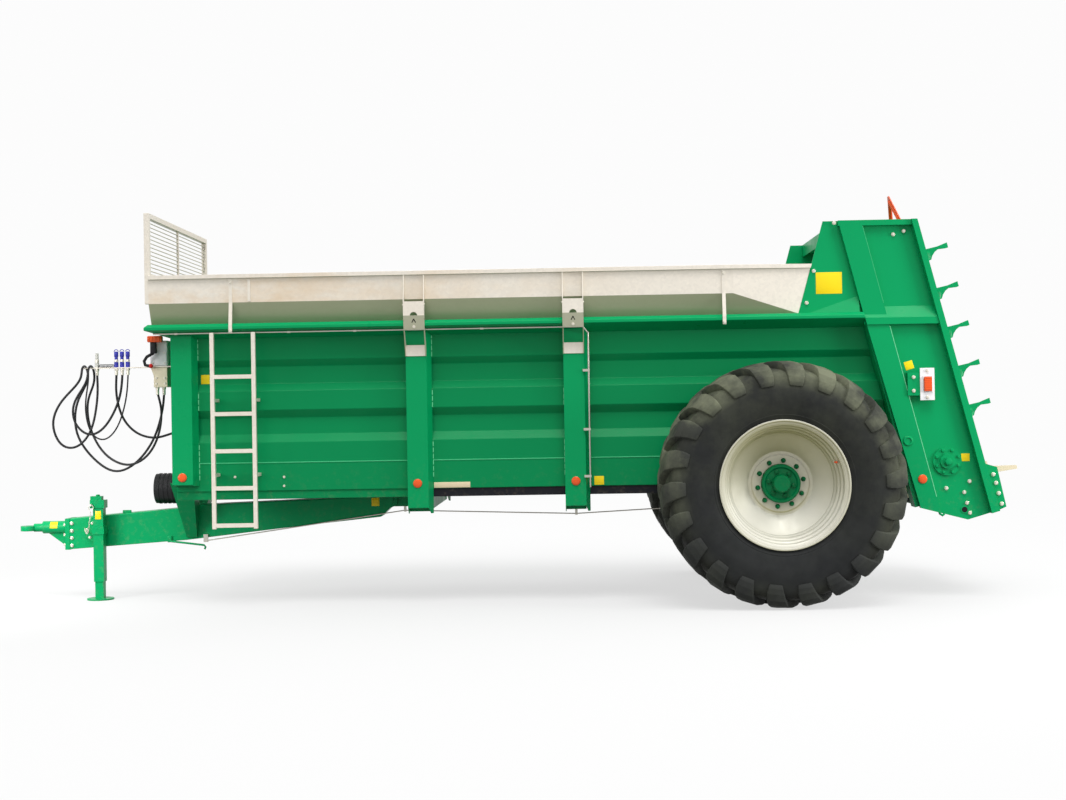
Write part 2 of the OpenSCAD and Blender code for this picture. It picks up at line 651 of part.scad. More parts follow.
// Front fittings, counted from the front wall
module from_front() translate([axle_x + front_x, 0, 0]) children();
module hose_rack() color("#189e5c") from_front() {
    box([0, rack_y - 20, rack_z - rack_t], [790, rack_y + 20, rack_z]);
    box([0, 430, rack_z - rack_t], [250, 650, rack_z]);
}
module control_box() color("#e9e9ea") from_front() along_y(440, 640) polygon([
    [90, rack_z], [225, rack_z], [225, 1955], [205, 2005], [160, 2030], [90, 2030],
]);
module valve_block() color("#d8d2bd") from_front() along_y(520, 640) polygon([
    [92, 1672], [198, 1672], [198, 1760], [222, rack_z - rack_t], [92, rack_z - rack_t],
]);
coupling_xs = [435, 480, 525, 676];
module couplings() color("#2f6fb5") from_front() for (x = coupling_xs) translate([x, rack_y, rack_z]) {
    cylinder(d = 26, h = 112);
    cylinder(d = 34, h = 40);
}

// Hoses, from the valve block and the rack's couplings
hose_d = 18;
cable_d = 12;
hose_1_route = [
    [140, 560, 1672], [140, 560, 1625], [160, 550, 1480], [240, 520, 1260], [400, 470, 1080],
    [580, 440, 1020], [760, 425, 1150], [870, 425, 1330], [870, 425, 1540], [800, 425, 1690],
    [775, 425, 1775], [775, 447, 1828], [775, 500, 1850], [775, 553, 1828], [775, 575, 1775],
    [820, 575, 1690], [950, 575, 1560], [1010, 570, 1400], [950, 560, 1240], [830, 540, 1220],
    [720, 520, 1350], [676, 500, 1600], [676, 500, 1770], [676, 500, 1826],
];
hose_2_route = [
    [180, 600, 1672], [180, 600, 1625], [150, 600, 1490], [180, 590, 1300], [280, 560, 1140],
    [450, 510, 1070], [640, 460, 1160], [760, 425, 1360], [780, 425, 1560], [738, 425, 1690],
    [725, 425, 1775], [725, 447, 1828], [725, 500, 1850], [725, 553, 1828], [725, 575, 1775],
    [752, 575, 1690], [845, 575, 1550], [830, 575, 1400], [720, 570, 1310], [600, 545, 1380],
    [505, 505, 1580], [480, 500, 1760], [480, 500, 1826],
];
hose_3_route = [
    [525, 500, 1826], [525, 500, 1770], [535, 480, 1620], [495, 455, 1440], [390, 443, 1320],
    [250, 440, 1280], [130, 440, 1310], [60, 440, 1330], [0, 440, 1330],
];
hose_4_route = [
    [435, 500, 1826], [435, 500, 1770], [450, 512, 1580], [520, 505, 1370], [630, 490, 1270],
    [740, 480, 1330], [780, 482, 1520], [752, 494, 1700], [745, 500, 1770], [745, 500, 1826],
];
module hose(route, d) from_front() {
    sides = 8;
    skin([for (i = [0:len(route) - 1])
        let (dir = unit(at(route, i + 1) - at(route, i - 1)), u = unit(cross(dir, [0.3, 1, 0.2])),
            v = cross(dir, u))
        [for (k = [0:sides - 1]) route[i] + d / 2 * (cos(360 * k / sides) * u + sin(360 * k / sides) * v)]]);
}
module hose_1() color("#1c1c1c") hose(hose_1_route, hose_d);
module hose_2() color("#1c1c1c") hose(hose_2_route, hose_d);
module hose_3() color("#1c1c1c") hose(hose_3_route, hose_d);
module hose_4() color("#1c1c1c") hose(hose_4_route, cable_d);

// Wheels, in a frame on the wheel's middle, with the profile's second number outwards
module at_wheel() from_axle() translate([0, wheel_y, axle_z]) children();
module turned() rotate([-90, 0, 0]) rotate_extrude() children();
bead_r = rim_d / 2 - 35;
half_w = tyre_w / 2;
// Share of the lug pitch that a lug's sloping flank takes
flank = 0.08;
cols = 4 * lug_count;
function col_angle(c) = (floor(c / 4) + [0, flank, 0.5, 0.5 + flank][c % 4]) * 360 / lug_count;
// Each station of the outer half: distance outwards and radius in a groove, the same on a lug, sweep back
stations = [
    [35, tyre_r - lug_h, 35, tyre_r, 1],
    [175, tyre_r - lug_h - 11, 175, tyre_r - 4, 6],
    [half_w - 32, tyre_r - 95, half_w - 28, tyre_r - 42, 10],
    [half_w - 18, tyre_r - 148, half_w, tyre_r - 120, 11.4],
    [half_w - 10, 675, half_w - 10, 675, 11.4],
    [254, rim_d / 2 + 8, 254, rim_d / 2 + 8, 11.4],
    // the bore's corners stand out so that its chords clear the rim
    [250, (bead_r + gap) / cos(90 * (1 - 2 * flank) / lug_count), 250,
        (bead_r + gap) / cos(90 * (1 - 2 * flank) / lug_count), 11.4],
];
// Point of the tyre's skin at a column, on one side
function tyre_point(c, s, side) =
    let (lug = side > 0 ? (c % 4 == 1 || c % 4 == 2) : (c % 4 == 3 || c % 4 == 0),
        y = lug ? s[2] : s[0], r = lug ? s[3] : s[1], a = col_angle(c) - s[4])
    [r * sin(a), side * y, r * cos(a)];
module tyre() at_wheel() skin([for (c = [0:cols - 1]) concat(
    [[(tyre_r - lug_h) * sin(col_angle(c)), 0, (tyre_r - lug_h) * cos(col_angle(c))]],
    [for (s = stations) tyre_point(c, s, 1)],
    [for (i = [len(stations) - 1:-1:0]) tyre_point(c, stations[i], -1)]
)], closed = true);
module tyre_left() color("#33312e") tyre();
module tyre_right() color("#33312e") right() tyre();

disc_v = -4;
disc_t = 16;
flange_r = rim_d / 2;
rim_v = rim_w / 2;
// Barrel with its flanges, bead seats and well, and the dished disc, flat round the hub
module rim() at_wheel() turned() polygon([
    [flange_r, -rim_v], [flange_r, -rim_v + 10], [bead_r, -rim_v + 18], [bead_r, -140], [bead_r - 46, -100],
    [bead_r - 46, 105], [bead_r - 30, 125], [bead_r - 14, 170], [bead_r, 180], [bead_r, rim_v - 18],
    [flange_r, rim_v - 10], [flange_r, rim_v],
    [flange_r - 13, rim_v], [flange_r - 17, rim_v - 14], [bead_r - 8, rim_v - 24], [bead_r - 12, 205],
    [bead_r - 26, 196], [bead_r - 30, 160], [bead_r - 44, 150], [bead_r - 48, 116], [bead_r - 60, 104],
    [bead_r - 62, 84], [246, disc_v + 2], [234, disc_v - 8], [214, disc_v - 8], [204, disc_v],
    [hub_d / 2 + gap, disc_v], [hub_d / 2 + gap, disc_v - disc_t], [200, disc_v - disc_t],
    [212, disc_v - disc_t - 9], [236, disc_v - disc_t - 9], [250, disc_v - disc_t - 2], [bead_r - 62, 62],
    [bead_r - 60, -94], [bead_r - 12, -135], [bead_r - 12, -rim_v + 11], [flange_r - 15, -rim_v],
]);
module rim_left() color("#c9c4b8") rim();
module rim_right() color("#c9c4b8") right() rim();

hub_bore_r = spindle_d / 2 + 0.5;
module hub() at_wheel() turned() polygon([
    [hub_bore_r, -195], [198, -195], [198, disc_v - disc_t], [hub_d / 2, disc_v - disc_t], [hub_d / 2, 40],
    [132, 48], [120, 48], [110, 36], [70, 36], [62, 90], [54, 98], [0, 98], [0, 80], [hub_bore_r, 80],
]);
module hub_left() color("#189e5c") hub();
module hub_right() color("#189e5c") right() hub();

// Jack on the drawbar's left side
jack_x = tip_x - jack_back;
jack_y = bar_w / 2 + 50 + jack_tube_w / 2;
module jack_post(z0, z1, w) translate([jack_x, jack_y, z0]) linear_extrude(z1 - z0) square(w, center = true);
module jack_tube() color("#189e5c") from_axle() {
    pin_y(jack_x + 60, bar_w / 2, bar_w / 2 + 14, 540, 170);
    pin_y(jack_x + 20, bar_w / 2 + 13, jack_y - jack_tube_w / 2 + 1, 545, 130);
    difference() {
        union() {
            jack_post(145, 728, jack_tube_w);
            jack_post(520, 580, jack_tube_w + 14);
        }
        jack_post(100, 700, jack_leg_w + 2 * gap);
    }
    box([jack_x - 52, jack_y - 48, 728], [jack_x + 62, jack_y + 48, 792]);
    box([jack_x - 26, jack_y - 28, 791], [jack_x + 64, jack_y + 28, 822]);
}
module jack_leg() color("#189e5c") from_axle() {
    jack_post(10, 572, jack_leg_w);
    translate([jack_x, jack_y, 0]) cylinder(d = foot_d, h = 12);
}

// Beaters
module on_beater() from_axle() leaning() translate([0, beater_y, 0]) children();
module beater_core() on_beater() {
    translate([0, 0, core_z0]) cylinder(d = core_d, h = core_z1 - core_z0);
    translate([0, 0, gear_h - 20]) cylinder(d = 80, h = 60);
    translate([0, 0, core_z1 - 10]) cylinder(d = 60, h = 60);
    translate([0, 0, disc_z - 12]) cylinder(r = blade_r - 160, h = 12);
}
module beater_left_core() color("#189e5c") beater_core();
module beater_right_core() color("#189e5c") right() beater_core();

module blades() on_beater() for (a = [0:90:270])
    rotate([0, 0, 180 + a]) along_y(-6, 6) polygon([
        [core_d / 2 + gap, disc_z], [core_d / 2 + gap, disc_z + 128], [blade_r - 180, disc_z + 112],
        [blade_r, blade_tip_z1], [blade_r, blade_tip_z0], [blade_r - 150, disc_z + 56], [blade_r - 165, disc_z],
    ]);
module beater_left_blades() color("#d9ccb0") blades();
module beater_right_blades() color("#d9ccb0") right() blades();

flight_steps = 44;
// Turn of a flight at a height, so that it points to the rear at its uppermost tine
tine_z1 = flight_z1 - 45;
function flight_a(z) = 180 - (tine_z1 - z) * 360 / flight_pitch;
module flight(start) skin([for (i = [0:flight_steps])
    let (z = flight_z0 + (flight_z1 - flight_z0) * i / flight_steps, a = flight_a(z) + start,
        u = [cos(a), sin(a), 0])
    [for (p = [[flight_r0, 0], [flight_r, 0], [flight_r, flight_t], [flight_r0, flight_t]])
        p[0] * u + [0, 0, z + p[1]]]]);
// Tapered shank with a paddle bolted to its side
module tine() {
    along_y(-8, 8) polygon([
        [flight_r - 45, -66], [flight_r - 45, 30], [flight_r + 100, 26], [flight_r + 100, 8],
        [flight_r + 70, 4], [flight_r + 40, -10], [flight_r + 15, -34], [flight_r, -60],
    ]);
    along_y(7, 17) polygon([
        [flight_r + 78, 4], [tine_r - 22, -4], [tine_r - 2, -2], [tine_r - 2, 38], [tine_r - 34, 34],
        [flight_r + 78, 28],
    ]);
}
module flights() on_beater() for (start = [0, 180]) {
    flight(start);
    for (z = [tine_z1:-flight_pitch / 4:flight_z0 + 20])
        translate([0, 0, z]) rotate([0, 0, flight_a(z) + start]) tine();
}
module beater_left_flights() color("#189e5c") flights();
module beater_right_flights() color("#189e5c") right() flights();

sills();
cross_members();
drawbar();
drawbar_pivot();
drawbar_hanger();
towing_eye();
axle();
floor();
conveyor();
driveline();
stub_guard();
brake_cable();
front_wall();
side_wall_left();
side_wall_right();
posts();
top_rail();
brake_pipe();
board_left();
board_right();
board_front();
board_brackets();
guard();
ladder();
rear_side_left();
rear_side_right();
rear_top_beam();
gear_beam();
marker();
lamp_boards();
lamps();
hose_rack();
control_box();
valve_block();
couplings();
hose_1();
hose_2();
hose_3();
hose_4();
tyre_left();
rim_left();
hub_left();
tyre_right();
rim_right();
hub_right();
jack_tube();
jack_leg();
beater_left_core();
beater_left_flights();
beater_left_blades();
beater_right_core();
beater_right_flights();
beater_right_blades();
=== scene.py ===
"""Looks of the manure spreader: camera, hoses, materials, fine pieces and light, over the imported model."""
import json
import math

import bmesh
import bpy
from mathutils import Matrix, Vector


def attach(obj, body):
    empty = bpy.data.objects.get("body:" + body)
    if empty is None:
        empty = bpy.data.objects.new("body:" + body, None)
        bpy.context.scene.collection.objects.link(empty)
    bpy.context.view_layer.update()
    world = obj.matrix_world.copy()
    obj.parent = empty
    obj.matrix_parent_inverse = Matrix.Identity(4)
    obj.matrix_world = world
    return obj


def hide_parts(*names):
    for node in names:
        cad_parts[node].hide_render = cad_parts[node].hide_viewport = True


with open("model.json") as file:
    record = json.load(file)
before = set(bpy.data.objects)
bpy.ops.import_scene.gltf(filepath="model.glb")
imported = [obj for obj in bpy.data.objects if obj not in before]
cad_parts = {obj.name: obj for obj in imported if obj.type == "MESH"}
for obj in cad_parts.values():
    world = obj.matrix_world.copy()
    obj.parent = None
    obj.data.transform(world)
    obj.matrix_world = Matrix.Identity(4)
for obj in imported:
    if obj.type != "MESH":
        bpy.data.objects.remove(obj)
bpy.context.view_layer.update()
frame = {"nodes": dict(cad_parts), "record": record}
nodes = frame["nodes"]
scene = bpy.context.scene

# The axle's place along the machine, from which the side view was measured
AXLE_X = -2.035
# The front wall's place, ahead of the axle
FRONT_X = 4.510
AXLE_Z = 0.888


def at(x, y, z):
    """A point given by its distance ahead of the axle."""
    return Vector((AXLE_X + x, y, z))


# Camera at the photograph's viewing angle: its place, its turns in radians and its lens
CAMERA_PLACE = (-0.563, 12.8894, 1.4633)
CAMERA_YAW, CAMERA_PITCH, CAMERA_ROLL = 0.0268, 0.0051, 0.0168
CAMERA_LENS = 54.296


def make_camera():
    level = math.cos(CAMERA_PITCH)
    ahead = Vector((math.sin(CAMERA_YAW) * level, -math.cos(CAMERA_YAW) * level, math.sin(CAMERA_PITCH)))
    level_right = ahead.cross(Vector((0, 0, 1))).normalized()
    level_up = level_right.cross(ahead)
    right = math.cos(CAMERA_ROLL) * level_right - math.sin(CAMERA_ROLL) * level_up
    up = math.sin(CAMERA_ROLL) * level_right + math.cos(CAMERA_ROLL) * level_up
    data = bpy.data.cameras.new("camera")
    data.sensor_fit = "HORIZONTAL"
    data.sensor_width = 36.0
    data.lens = CAMERA_LENS
    data.clip_end = 200.0
    camera = bpy.data.objects.new("camera", data)
    turn = Matrix((right, up, -ahead)).transposed()
    camera.matrix_world = Matrix.Translation(CAMERA_PLACE) @ turn.to_4x4()
    scene.collection.objects.link(camera)
    scene.camera = camera


make_camera()


# Materials
def linear(red, green, blue):
    """Linear colour of a display colour given in 0 to 255."""
    out = []
    for value in (red, green, blue):
        share = value / 255
        out.append(share / 12.92 if share <= 0.04045 else ((share + 0.055) / 1.055) ** 2.4)
    return (*out, 1.0)


class Surface:
    """A material's node tree, with short calls for the nodes used here."""

    def __init__(self, name, rough, metal=0.0, coat=0.0):
        self.material = bpy.data.materials.new(name)
        self.material.use_nodes = True
        self.tree = self.material.node_tree
        self.shader = self.tree.nodes["Principled BSDF"]
        self.shader.inputs["Roughness"].default_value = rough
        self.shader.inputs["Metallic"].default_value = metal
        self.shader.inputs["Coat Weight"].default_value = coat
        self.place = self.tree.nodes.new("ShaderNodeTexCoord").outputs["Object"]

    def link(self, source, target):
        self.tree.links.new(source, target)

    def stretched(self, scale):
        node = self.tree.nodes.new("ShaderNodeMapping")
        node.inputs["Scale"].default_value = scale
        self.link(self.place, node.inputs["Vector"])
        return node.outputs["Vector"]

    def noise(self, scale, detail=4.0, rough=0.55, stretch=(1, 1, 1)):
        node = self.tree.nodes.new("ShaderNodeTexNoise")
        node.inputs["Scale"].default_value = scale
        node.inputs["Detail"].default_value = detail
        node.inputs["Roughness"].default_value = rough
        self.link(self.stretched(stretch), node.inputs["Vector"])
        return node.outputs["Fac"]

    def cells(self, scale):
        node = self.tree.nodes.new("ShaderNodeTexVoronoi")
        node.inputs["Scale"].default_value = scale
        self.link(self.place, node.inputs["Vector"])
        split = self.tree.nodes.new("ShaderNodeSeparateColor")
        self.link(node.outputs["Color"], split.inputs["Color"])
        return split.outputs["Red"]

    def remap(self, value, low, high, to_low, to_high):
        node = self.tree.nodes.new("ShaderNodeMapRange")
        node.inputs["From Min"].default_value = low
        node.inputs["From Max"].default_value = high
        node.inputs["To Min"].default_value = to_low
        node.inputs["To Max"].default_value = to_high
        self.link(value, node.inputs["Value"])
        return node.outputs["Result"]

    def times(self, one, other):
        node = self.tree.nodes.new("ShaderNodeMath")
        node.operation = "MULTIPLY"
        self.link(one, node.inputs[0])
        self.link(other, node.inputs[1])
        return node.outputs["Value"]

    def height(self, low, high):
        """1 at the lower height, falling to 0 at the upper one."""
        split = self.tree.nodes.new("ShaderNodeSeparateXYZ")
        self.link(self.place, split.inputs["Vector"])
        return self.remap(split.outputs["Z"], low, high, 1.0, 0.0)

    def ahead(self, low, high):
        """0 at the rear place, rising to 1 at the front one, both counted from the middle."""
        split = self.tree.nodes.new("ShaderNodeSeparateXYZ")
        self.link(self.place, split.inputs["Vector"])
        return self.remap(split.outputs["X"], low, high, 0.0, 1.0)

    def under(self, low, high):
        """1 where the surface faces down, 0 where it faces sideways or up, by its normal's height."""
        split = self.tree.nodes.new("ShaderNodeSeparateXYZ")
        self.link(self.tree.nodes.new("ShaderNodeNewGeometry").outputs["Normal"], split.inputs["Vector"])
        return self.remap(split.outputs["Z"], low, high, 1.0, 0.0)

    def from_axle(self, low, high):
        """0 at the smaller distance from the axle's line, rising to 1 at the larger one."""
        value = self.place
        for operation, numbers in (("SUBTRACT", (AXLE_X, 0, AXLE_Z)), ("MULTIPLY", (1, 0, 1))):
            node = self.tree.nodes.new("ShaderNodeVectorMath")
            node.operation = operation
            self.link(value, node.inputs[0])
            node.inputs[1].default_value = numbers
            value = node.outputs["Vector"]
        node = self.tree.nodes.new("ShaderNodeVectorMath")
        node.operation = "LENGTH"
        self.link(value, node.inputs[0])
        return self.remap(node.outputs["Value"], low, high, 0.0, 1.0)

    def mix(self, share, one, other):
        """Colour between two, each a colour or a node's output."""
        node = self.tree.nodes.new("ShaderNodeMix")
        node.data_type = "RGBA"
        self.link(share, node.inputs["Factor"])
        colour_inputs = [s for s in node.inputs if s.type == "RGBA"]
        for socket, value in zip(colour_inputs, (one, other)):
            if isinstance(value, tuple):
                socket.default_value = value
            else:
                self.link(value, socket)
        return next(s for s in node.outputs if s.type == "RGBA")

    def colour(self, value):
        self.link(value, self.shader.inputs["Base Color"])

    def rough(self, value):
        self.link(value, self.shader.inputs["Roughness"])

    def bump(self, value, strength, distance):
        node = self.tree.nodes.new("ShaderNodeBump")
        node.inputs["Strength"].default_value = strength
        node.inputs["Distance"].default_value = distance
        self.link(value, node.inputs["Height"])
        self.link(node.outputs["Normal"], self.shader.inputs["Normal"])


def shade(colour, factor):
    return (colour[0] * factor, colour[1] * factor, colour[2] * factor, 1.0)


DUST = linear(150, 135, 110)
# Where the sills change from black to a darker green that is painted shade under the wall, behind the first
# wide post
SILL_CHANGE_X = AXLE_X + 2.62
# Half the width of the soft border between two colours along the machine
BORDER = 0.005
# Ahead of here on the hose rack the coupling has no cap, and is bare
OPEN_COUPLING_X = AXLE_X + FRONT_X + 0.60


def paint(name, colour, rough=0.32, coat=0.03, dust=0.25, vary=0.08, front=None):
    """Sprayed paint: slow changes of tone, faint orange peel, dust low down, another colour in front."""
    s = Surface(name, rough, coat=coat)
    s.shader.inputs["Coat Roughness"].default_value = 0.12
    s.shader.inputs["Specular IOR Level"].default_value = 0.10
    tone = s.mix(s.noise(0.9, 3.0), shade(colour, 1 - vary), shade(colour, 1 + vary))
    if front:
        tone = s.mix(s.ahead(SILL_CHANGE_X - BORDER, SILL_CHANGE_X + BORDER), tone, front)
    specks = s.remap(s.noise(22.0, 6.0, 0.7), 0.52, 0.78, 0.0, 1.0)
    low = s.height(0.35, 1.15)
    s.colour(s.mix(s.remap(s.times(specks, low), 0.0, 1.0, 0.0, dust), tone, DUST))
    s.rough(s.remap(s.noise(5.0, 5.0), 0.3, 0.7, rough - 0.06, rough + 0.1))
    s.bump(s.noise(160.0, 2.0), 0.05, 0.001)
    return s.material


def galvanised(name, colour, stained=0.15):
    """Dipped sheet: spangles, stains towards the front, painted shade with a painted green reflection on the
    undersides, and a satin sheen.
    """
    s = Surface(name, 0.42, metal=0.35)
    spangle = s.mix(s.cells(55.0), shade(colour, 0.96), shade(colour, 1.03))
    stain = s.remap(s.noise(1.6, 5.0, 0.6, (1, 1, 2.2)), 0.42, 0.72, 0.0, stained)
    stain = s.times(stain, s.ahead(-1.2, 2.4))
    outer = s.mix(stain, spangle, linear(214, 180, 132))
    # Painted shade, with a painted green reflection of the rail, on what faces down
    s.colour(s.mix(s.under(-0.26, -0.10), outer, linear(158, 162, 132)))
    s.rough(s.remap(s.cells(55.0), 0.0, 1.0, 0.34, 0.5))
    s.bump(s.noise(30.0, 4.0), 0.06, 0.002)
    return s.material


def rubber(name, dark, pale, top_dust_and_light, low_tread_shade=0.0):
    """Tyre: dark grey with pale dust in patches, heavier higher up where it also paints the light on the
    upper lugs, and painted shade in the grooves low down.
    """
    s = Surface(name, 0.78)
    s.shader.inputs["Specular IOR Level"].default_value = 0.2
    base = s.mix(s.noise(7.0, 6.0, 0.65), dark, pale)
    # Near-black low down in the tread's grooves: painted shade between the lugs
    painted_tread_shade = s.times(s.from_axle(0.74, 0.79), s.remap(s.height(0.5, 1.5), 0.0, 1.0, 0.0, low_tread_shade))
    base = s.mix(painted_tread_shade, base, linear(12, 12, 14))
    patches = s.remap(s.noise(2.8, 6.0, 0.62), 0.40, 0.62, 0.15, 1.0)
    patches = s.times(patches, s.remap(s.from_axle(0.68, 0.76), 0.0, 1.0, 0.22, 1.0))
    # Dust that grows with height: partly real dust, partly painted light on the upper lugs
    dust = s.times(patches, s.remap(s.height(0.4, 1.4), 0.0, 1.0, top_dust_and_light, 0.1))
    s.colour(s.mix(dust, base, linear(116, 120, 98)))
    s.rough(s.remap(s.noise(11.0, 4.0), 0.3, 0.7, 0.66, 0.88))
    s.bump(s.noise(120.0, 5.0, 0.6), 0.12, 0.002)
    return s.material


def metal(name, colour, rough, share=0.9, grain=(1, 1, 1), vary=0.15, shade_below=None):
    """Bare or silvered metal, with painted shade and reflection on what faces down when a tone for it is
    given.
    """
    s = Surface(name, rough, metal=share)
    tone = s.mix(s.noise(9.0, 6.0, 0.6, grain), shade(colour, 1 - vary), shade(colour, 1 + vary))
    # Painted shade and reflection on what faces down
    s.colour(s.mix(s.under(-0.8, 0.4), tone, shade_below) if shade_below else tone)
    s.rough(s.remap(s.noise(14.0, 5.0, 0.6, grain), 0.3, 0.7, rough - 0.08, rough + 0.1))
    s.bump(s.noise(90.0, 3.0), 0.04, 0.001)
    return s.material


def plastic(name, colour, rough, vary=0.06, front=None):
    """Moulded plastic, with another colour on what lies far in front."""
    s = Surface(name, rough)
    s.shader.inputs["Specular IOR Level"].default_value = 0.3
    tone = s.mix(s.noise(6.0, 4.0), shade(colour, 1 - vary), shade(colour, 1 + vary))
    if front:
        tone = s.mix(s.ahead(OPEN_COUPLING_X - BORDER, OPEN_COUPLING_X + BORDER), tone, front)
    s.colour(tone)
    s.rough(s.remap(s.noise(30.0, 4.0), 0.3, 0.7, rough - 0.05, rough + 0.07))
    s.bump(s.noise(260.0, 2.0), 0.05, 0.0006)
    return s.material


GREEN = linear(2, 154, 91)
MATERIALS = {
    "green": paint("green", GREEN),
    # The chassis's green, darker than the body's, is painted shade under the tub
    "chassis_green": paint("chassis_green", linear(1, 138, 80), 0.42, 0.03, 0.4),
    "black_steel": paint("black_steel", linear(30, 31, 36), 0.5, 0.05, 0.45),
    "worn_steel": metal("worn_steel", linear(140, 136, 130), 0.5, 0.8),
    "black_plastic": plastic("black_plastic", linear(15, 15, 18), 0.5),
    "galvanised": galvanised("galvanised", linear(232, 225, 212)),
    "bare_steel": metal("bare_steel", linear(186, 182, 172), 0.38, 0.8),
    "cream_paint": paint("cream_paint", linear(226, 212, 182), 0.4, 0.1, 0.2),
    "marker_orange": plastic("marker_orange", linear(236, 84, 26), 0.22),
    "white_plastic": plastic("white_plastic", linear(236, 236, 238), 0.3),
    "orange_lens": plastic("orange_lens", linear(238, 92, 34), 0.15),
    "valve_metal": metal("valve_metal", linear(214, 204, 178), 0.4, 0.4),
    "blue_plastic": plastic("blue_plastic", linear(58, 62, 170), 0.25, front=linear(206, 206, 198)),
    "hose_rubber": plastic("hose_rubber", linear(26, 26, 28), 0.45),
    "tyre": rubber("tyre", linear(32, 33, 35), linear(50, 52, 51), 0.9),
    # The rim's dull yellowish tone on what faces down is painted shade and reflection
    "rim_silver": metal("rim_silver", linear(204, 202, 190), 0.5, 0.25, vary=0.06,
                        shade_below=linear(172, 168, 122)),
}
for part in frame["record"]["subparts"]:
    node = nodes[part["node"]]
    node.data.materials.clear()
    node.data.materials.append(MATERIALS[part["material_slot"]])

# Nodes whose tone differs from the rest of their slot; the walls' darker green and the sills' darker green
# front are painted shade under the rail, the boards and the wall
BOARD_ZINC = galvanised("board_zinc", linear(232, 225, 212), 0.9)
HUB_GREEN = paint("hub_green", linear(1, 112, 64), 0.3)
# A darker copy of the body's green: painted shade on the walls under the rail and the boards
SHADED_WALL_GREEN = paint("shaded_wall_green", linear(1, 138, 80), 0.40)
# Black sills, with a darker green in front that is painted shade under the wall
SILL_BLACK = paint("sill_black", linear(30, 31, 36), 0.5, 0.03, 0.45, front=linear(1, 132, 76))
OTHER_TONES = {
    "board_left": BOARD_ZINC, "board_right": BOARD_ZINC, "board_front": BOARD_ZINC, "sills": SILL_BLACK,
    "hub_left": HUB_GREEN, "hub_right": HUB_GREEN,
    "side_wall_left": SHADED_WALL_GREEN, "side_wall_right": SHADED_WALL_GREEN,
}
for name, tone in OTHER_TONES.items():
    nodes[name].data.materials[0] = tone


# Hoses and cable, on the routes of the solids they stand for
EASING_PASSES = 6


def smooth_route(points, steps=6):
    """Points of a smooth curve along the given ones."""
    out = []
    for i in range(len(points) - 1):
        before = points[max(i - 1, 0)]
        start, end = points[i], points[i + 1]
        after = points[min(i + 2, len(points) - 1)]
        for k in range(steps):
            t = k / steps
            out.append(0.5 * (
                2 * start + (end - before) * t
                + (2 * before - 5 * start + 4 * end - after) * t ** 2
                + (3 * start - before - 3 * end + after) * t ** 3))
    out.append(points[-1])
    # ease the tighter bends, with both ends kept
    for _ in range(EASING_PASSES):
        inner = [(a + 2 * b + c) / 4 for a, b, c in zip(out, out[1:], out[2:])]
        out = [out[0], *inner, out[-1]]
    return out


def make_hose(node, diameter, route):
    """A hose whose route is in mm, its first number counted from the front wall."""
    line = smooth_route([Vector((p[0] + 1000 * (AXLE_X + FRONT_X), p[1], p[2])) / 1000 for p in route])
    data = bpy.data.curves.new(node + "_hose", "CURVE")
    data.dimensions = "3D"
    data.bevel_depth = diameter / 2
    data.bevel_resolution = 4
    data.use_fill_caps = True
    spline = data.splines.new("POLY")
    spline.points.add(len(line) - 1)
    for place, point in zip(spline.points, line):
        place.co = (*point, 1.0)
    hose = bpy.data.objects.new(node + "_hose", data)
    scene.collection.objects.link(hose)
    data.materials.append(MATERIALS["hose_rubber"])
    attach(hose, "chassis")
    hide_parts(node)


make_hose("hose_1", 0.018, [
    (140, 560, 1672), (140, 560, 1625), (160, 550, 1480), (240, 520, 1260), (400, 470, 1080),
    (580, 440, 1020), (760, 425, 1150), (870, 425, 1330), (870, 425, 1540), (800, 410, 1690),
    (775, 410, 1760), (775, 436, 1824), (775, 500, 1850), (775, 564, 1824), (775, 590, 1760),
    (820, 590, 1690), (950, 575, 1560), (1010, 570, 1400), (950, 560, 1240), (830, 540, 1220),
    (720, 520, 1350), (676, 500, 1600), (676, 500, 1770), (676, 500, 1826),
])
make_hose("hose_2", 0.018, [
    (180, 600, 1672), (180, 600, 1625), (150, 600, 1490), (180, 590, 1300), (280, 560, 1140),
    (450, 510, 1070), (640, 460, 1160), (760, 425, 1360), (780, 425, 1560), (738, 410, 1690),
    (725, 410, 1760), (725, 436, 1824), (725, 500, 1850), (725, 564, 1824), (725, 590, 1760),
    (752, 590, 1690), (845, 575, 1550), (830, 575, 1400), (720, 570, 1310), (600, 545, 1380),
    (505, 505, 1580), (480, 500, 1760), (480, 500, 1826),
])
make_hose("hose_3", 0.018, [
    (525, 500, 1826), (525, 500, 1770), (535, 480, 1620), (495, 455, 1440), (390, 443, 1320),
    (250, 440, 1280), (130, 440, 1310), (60, 440, 1330), (0, 440, 1330),
])
make_hose("hose_4", 0.012, [
    (435, 500, 1826), (435, 500, 1770), (450, 512, 1580), (520, 505, 1370), (630, 490, 1270),
    (740, 480, 1330), (780, 482, 1520), (752, 494, 1700), (745, 500, 1770), (745, 500, 1826),
])


# Fine pieces. Places are in metres, counted from the axle, with the left side's Y.
UP = Vector((0, 0, 1))
OUT = Vector((0, 1, 0))
AHEAD = Vector((1, 0, 0))
SIDES = (1, -1)
WHEEL_Y = 1.180
# Outer faces of the wall, its posts, the rear plate, the plate's leaning post and the drawbar
WALL_Y = 0.800
POST_Y = 0.880
PLATE_Y = 0.901
LEAN_POST_Y = 0.940
DRAWBAR_Y = 0.100
# The wide posts' and the front post's places
POST_XS = (2.665, 1.485)
FRONT_POST_X = 4.437
# Lean of the rear housing and the place that its lean is counted from
LEAN = math.radians(14.2)
HOUSE_X = -1.5329
HOUSE_Z = 0.623


def lean_x(along, z):
    """Distance ahead of the axle of a place on the rear housing, given along its lean and by height."""
    return HOUSE_X + along / math.cos(LEAN) + (z - HOUSE_Z) * math.tan(LEAN)


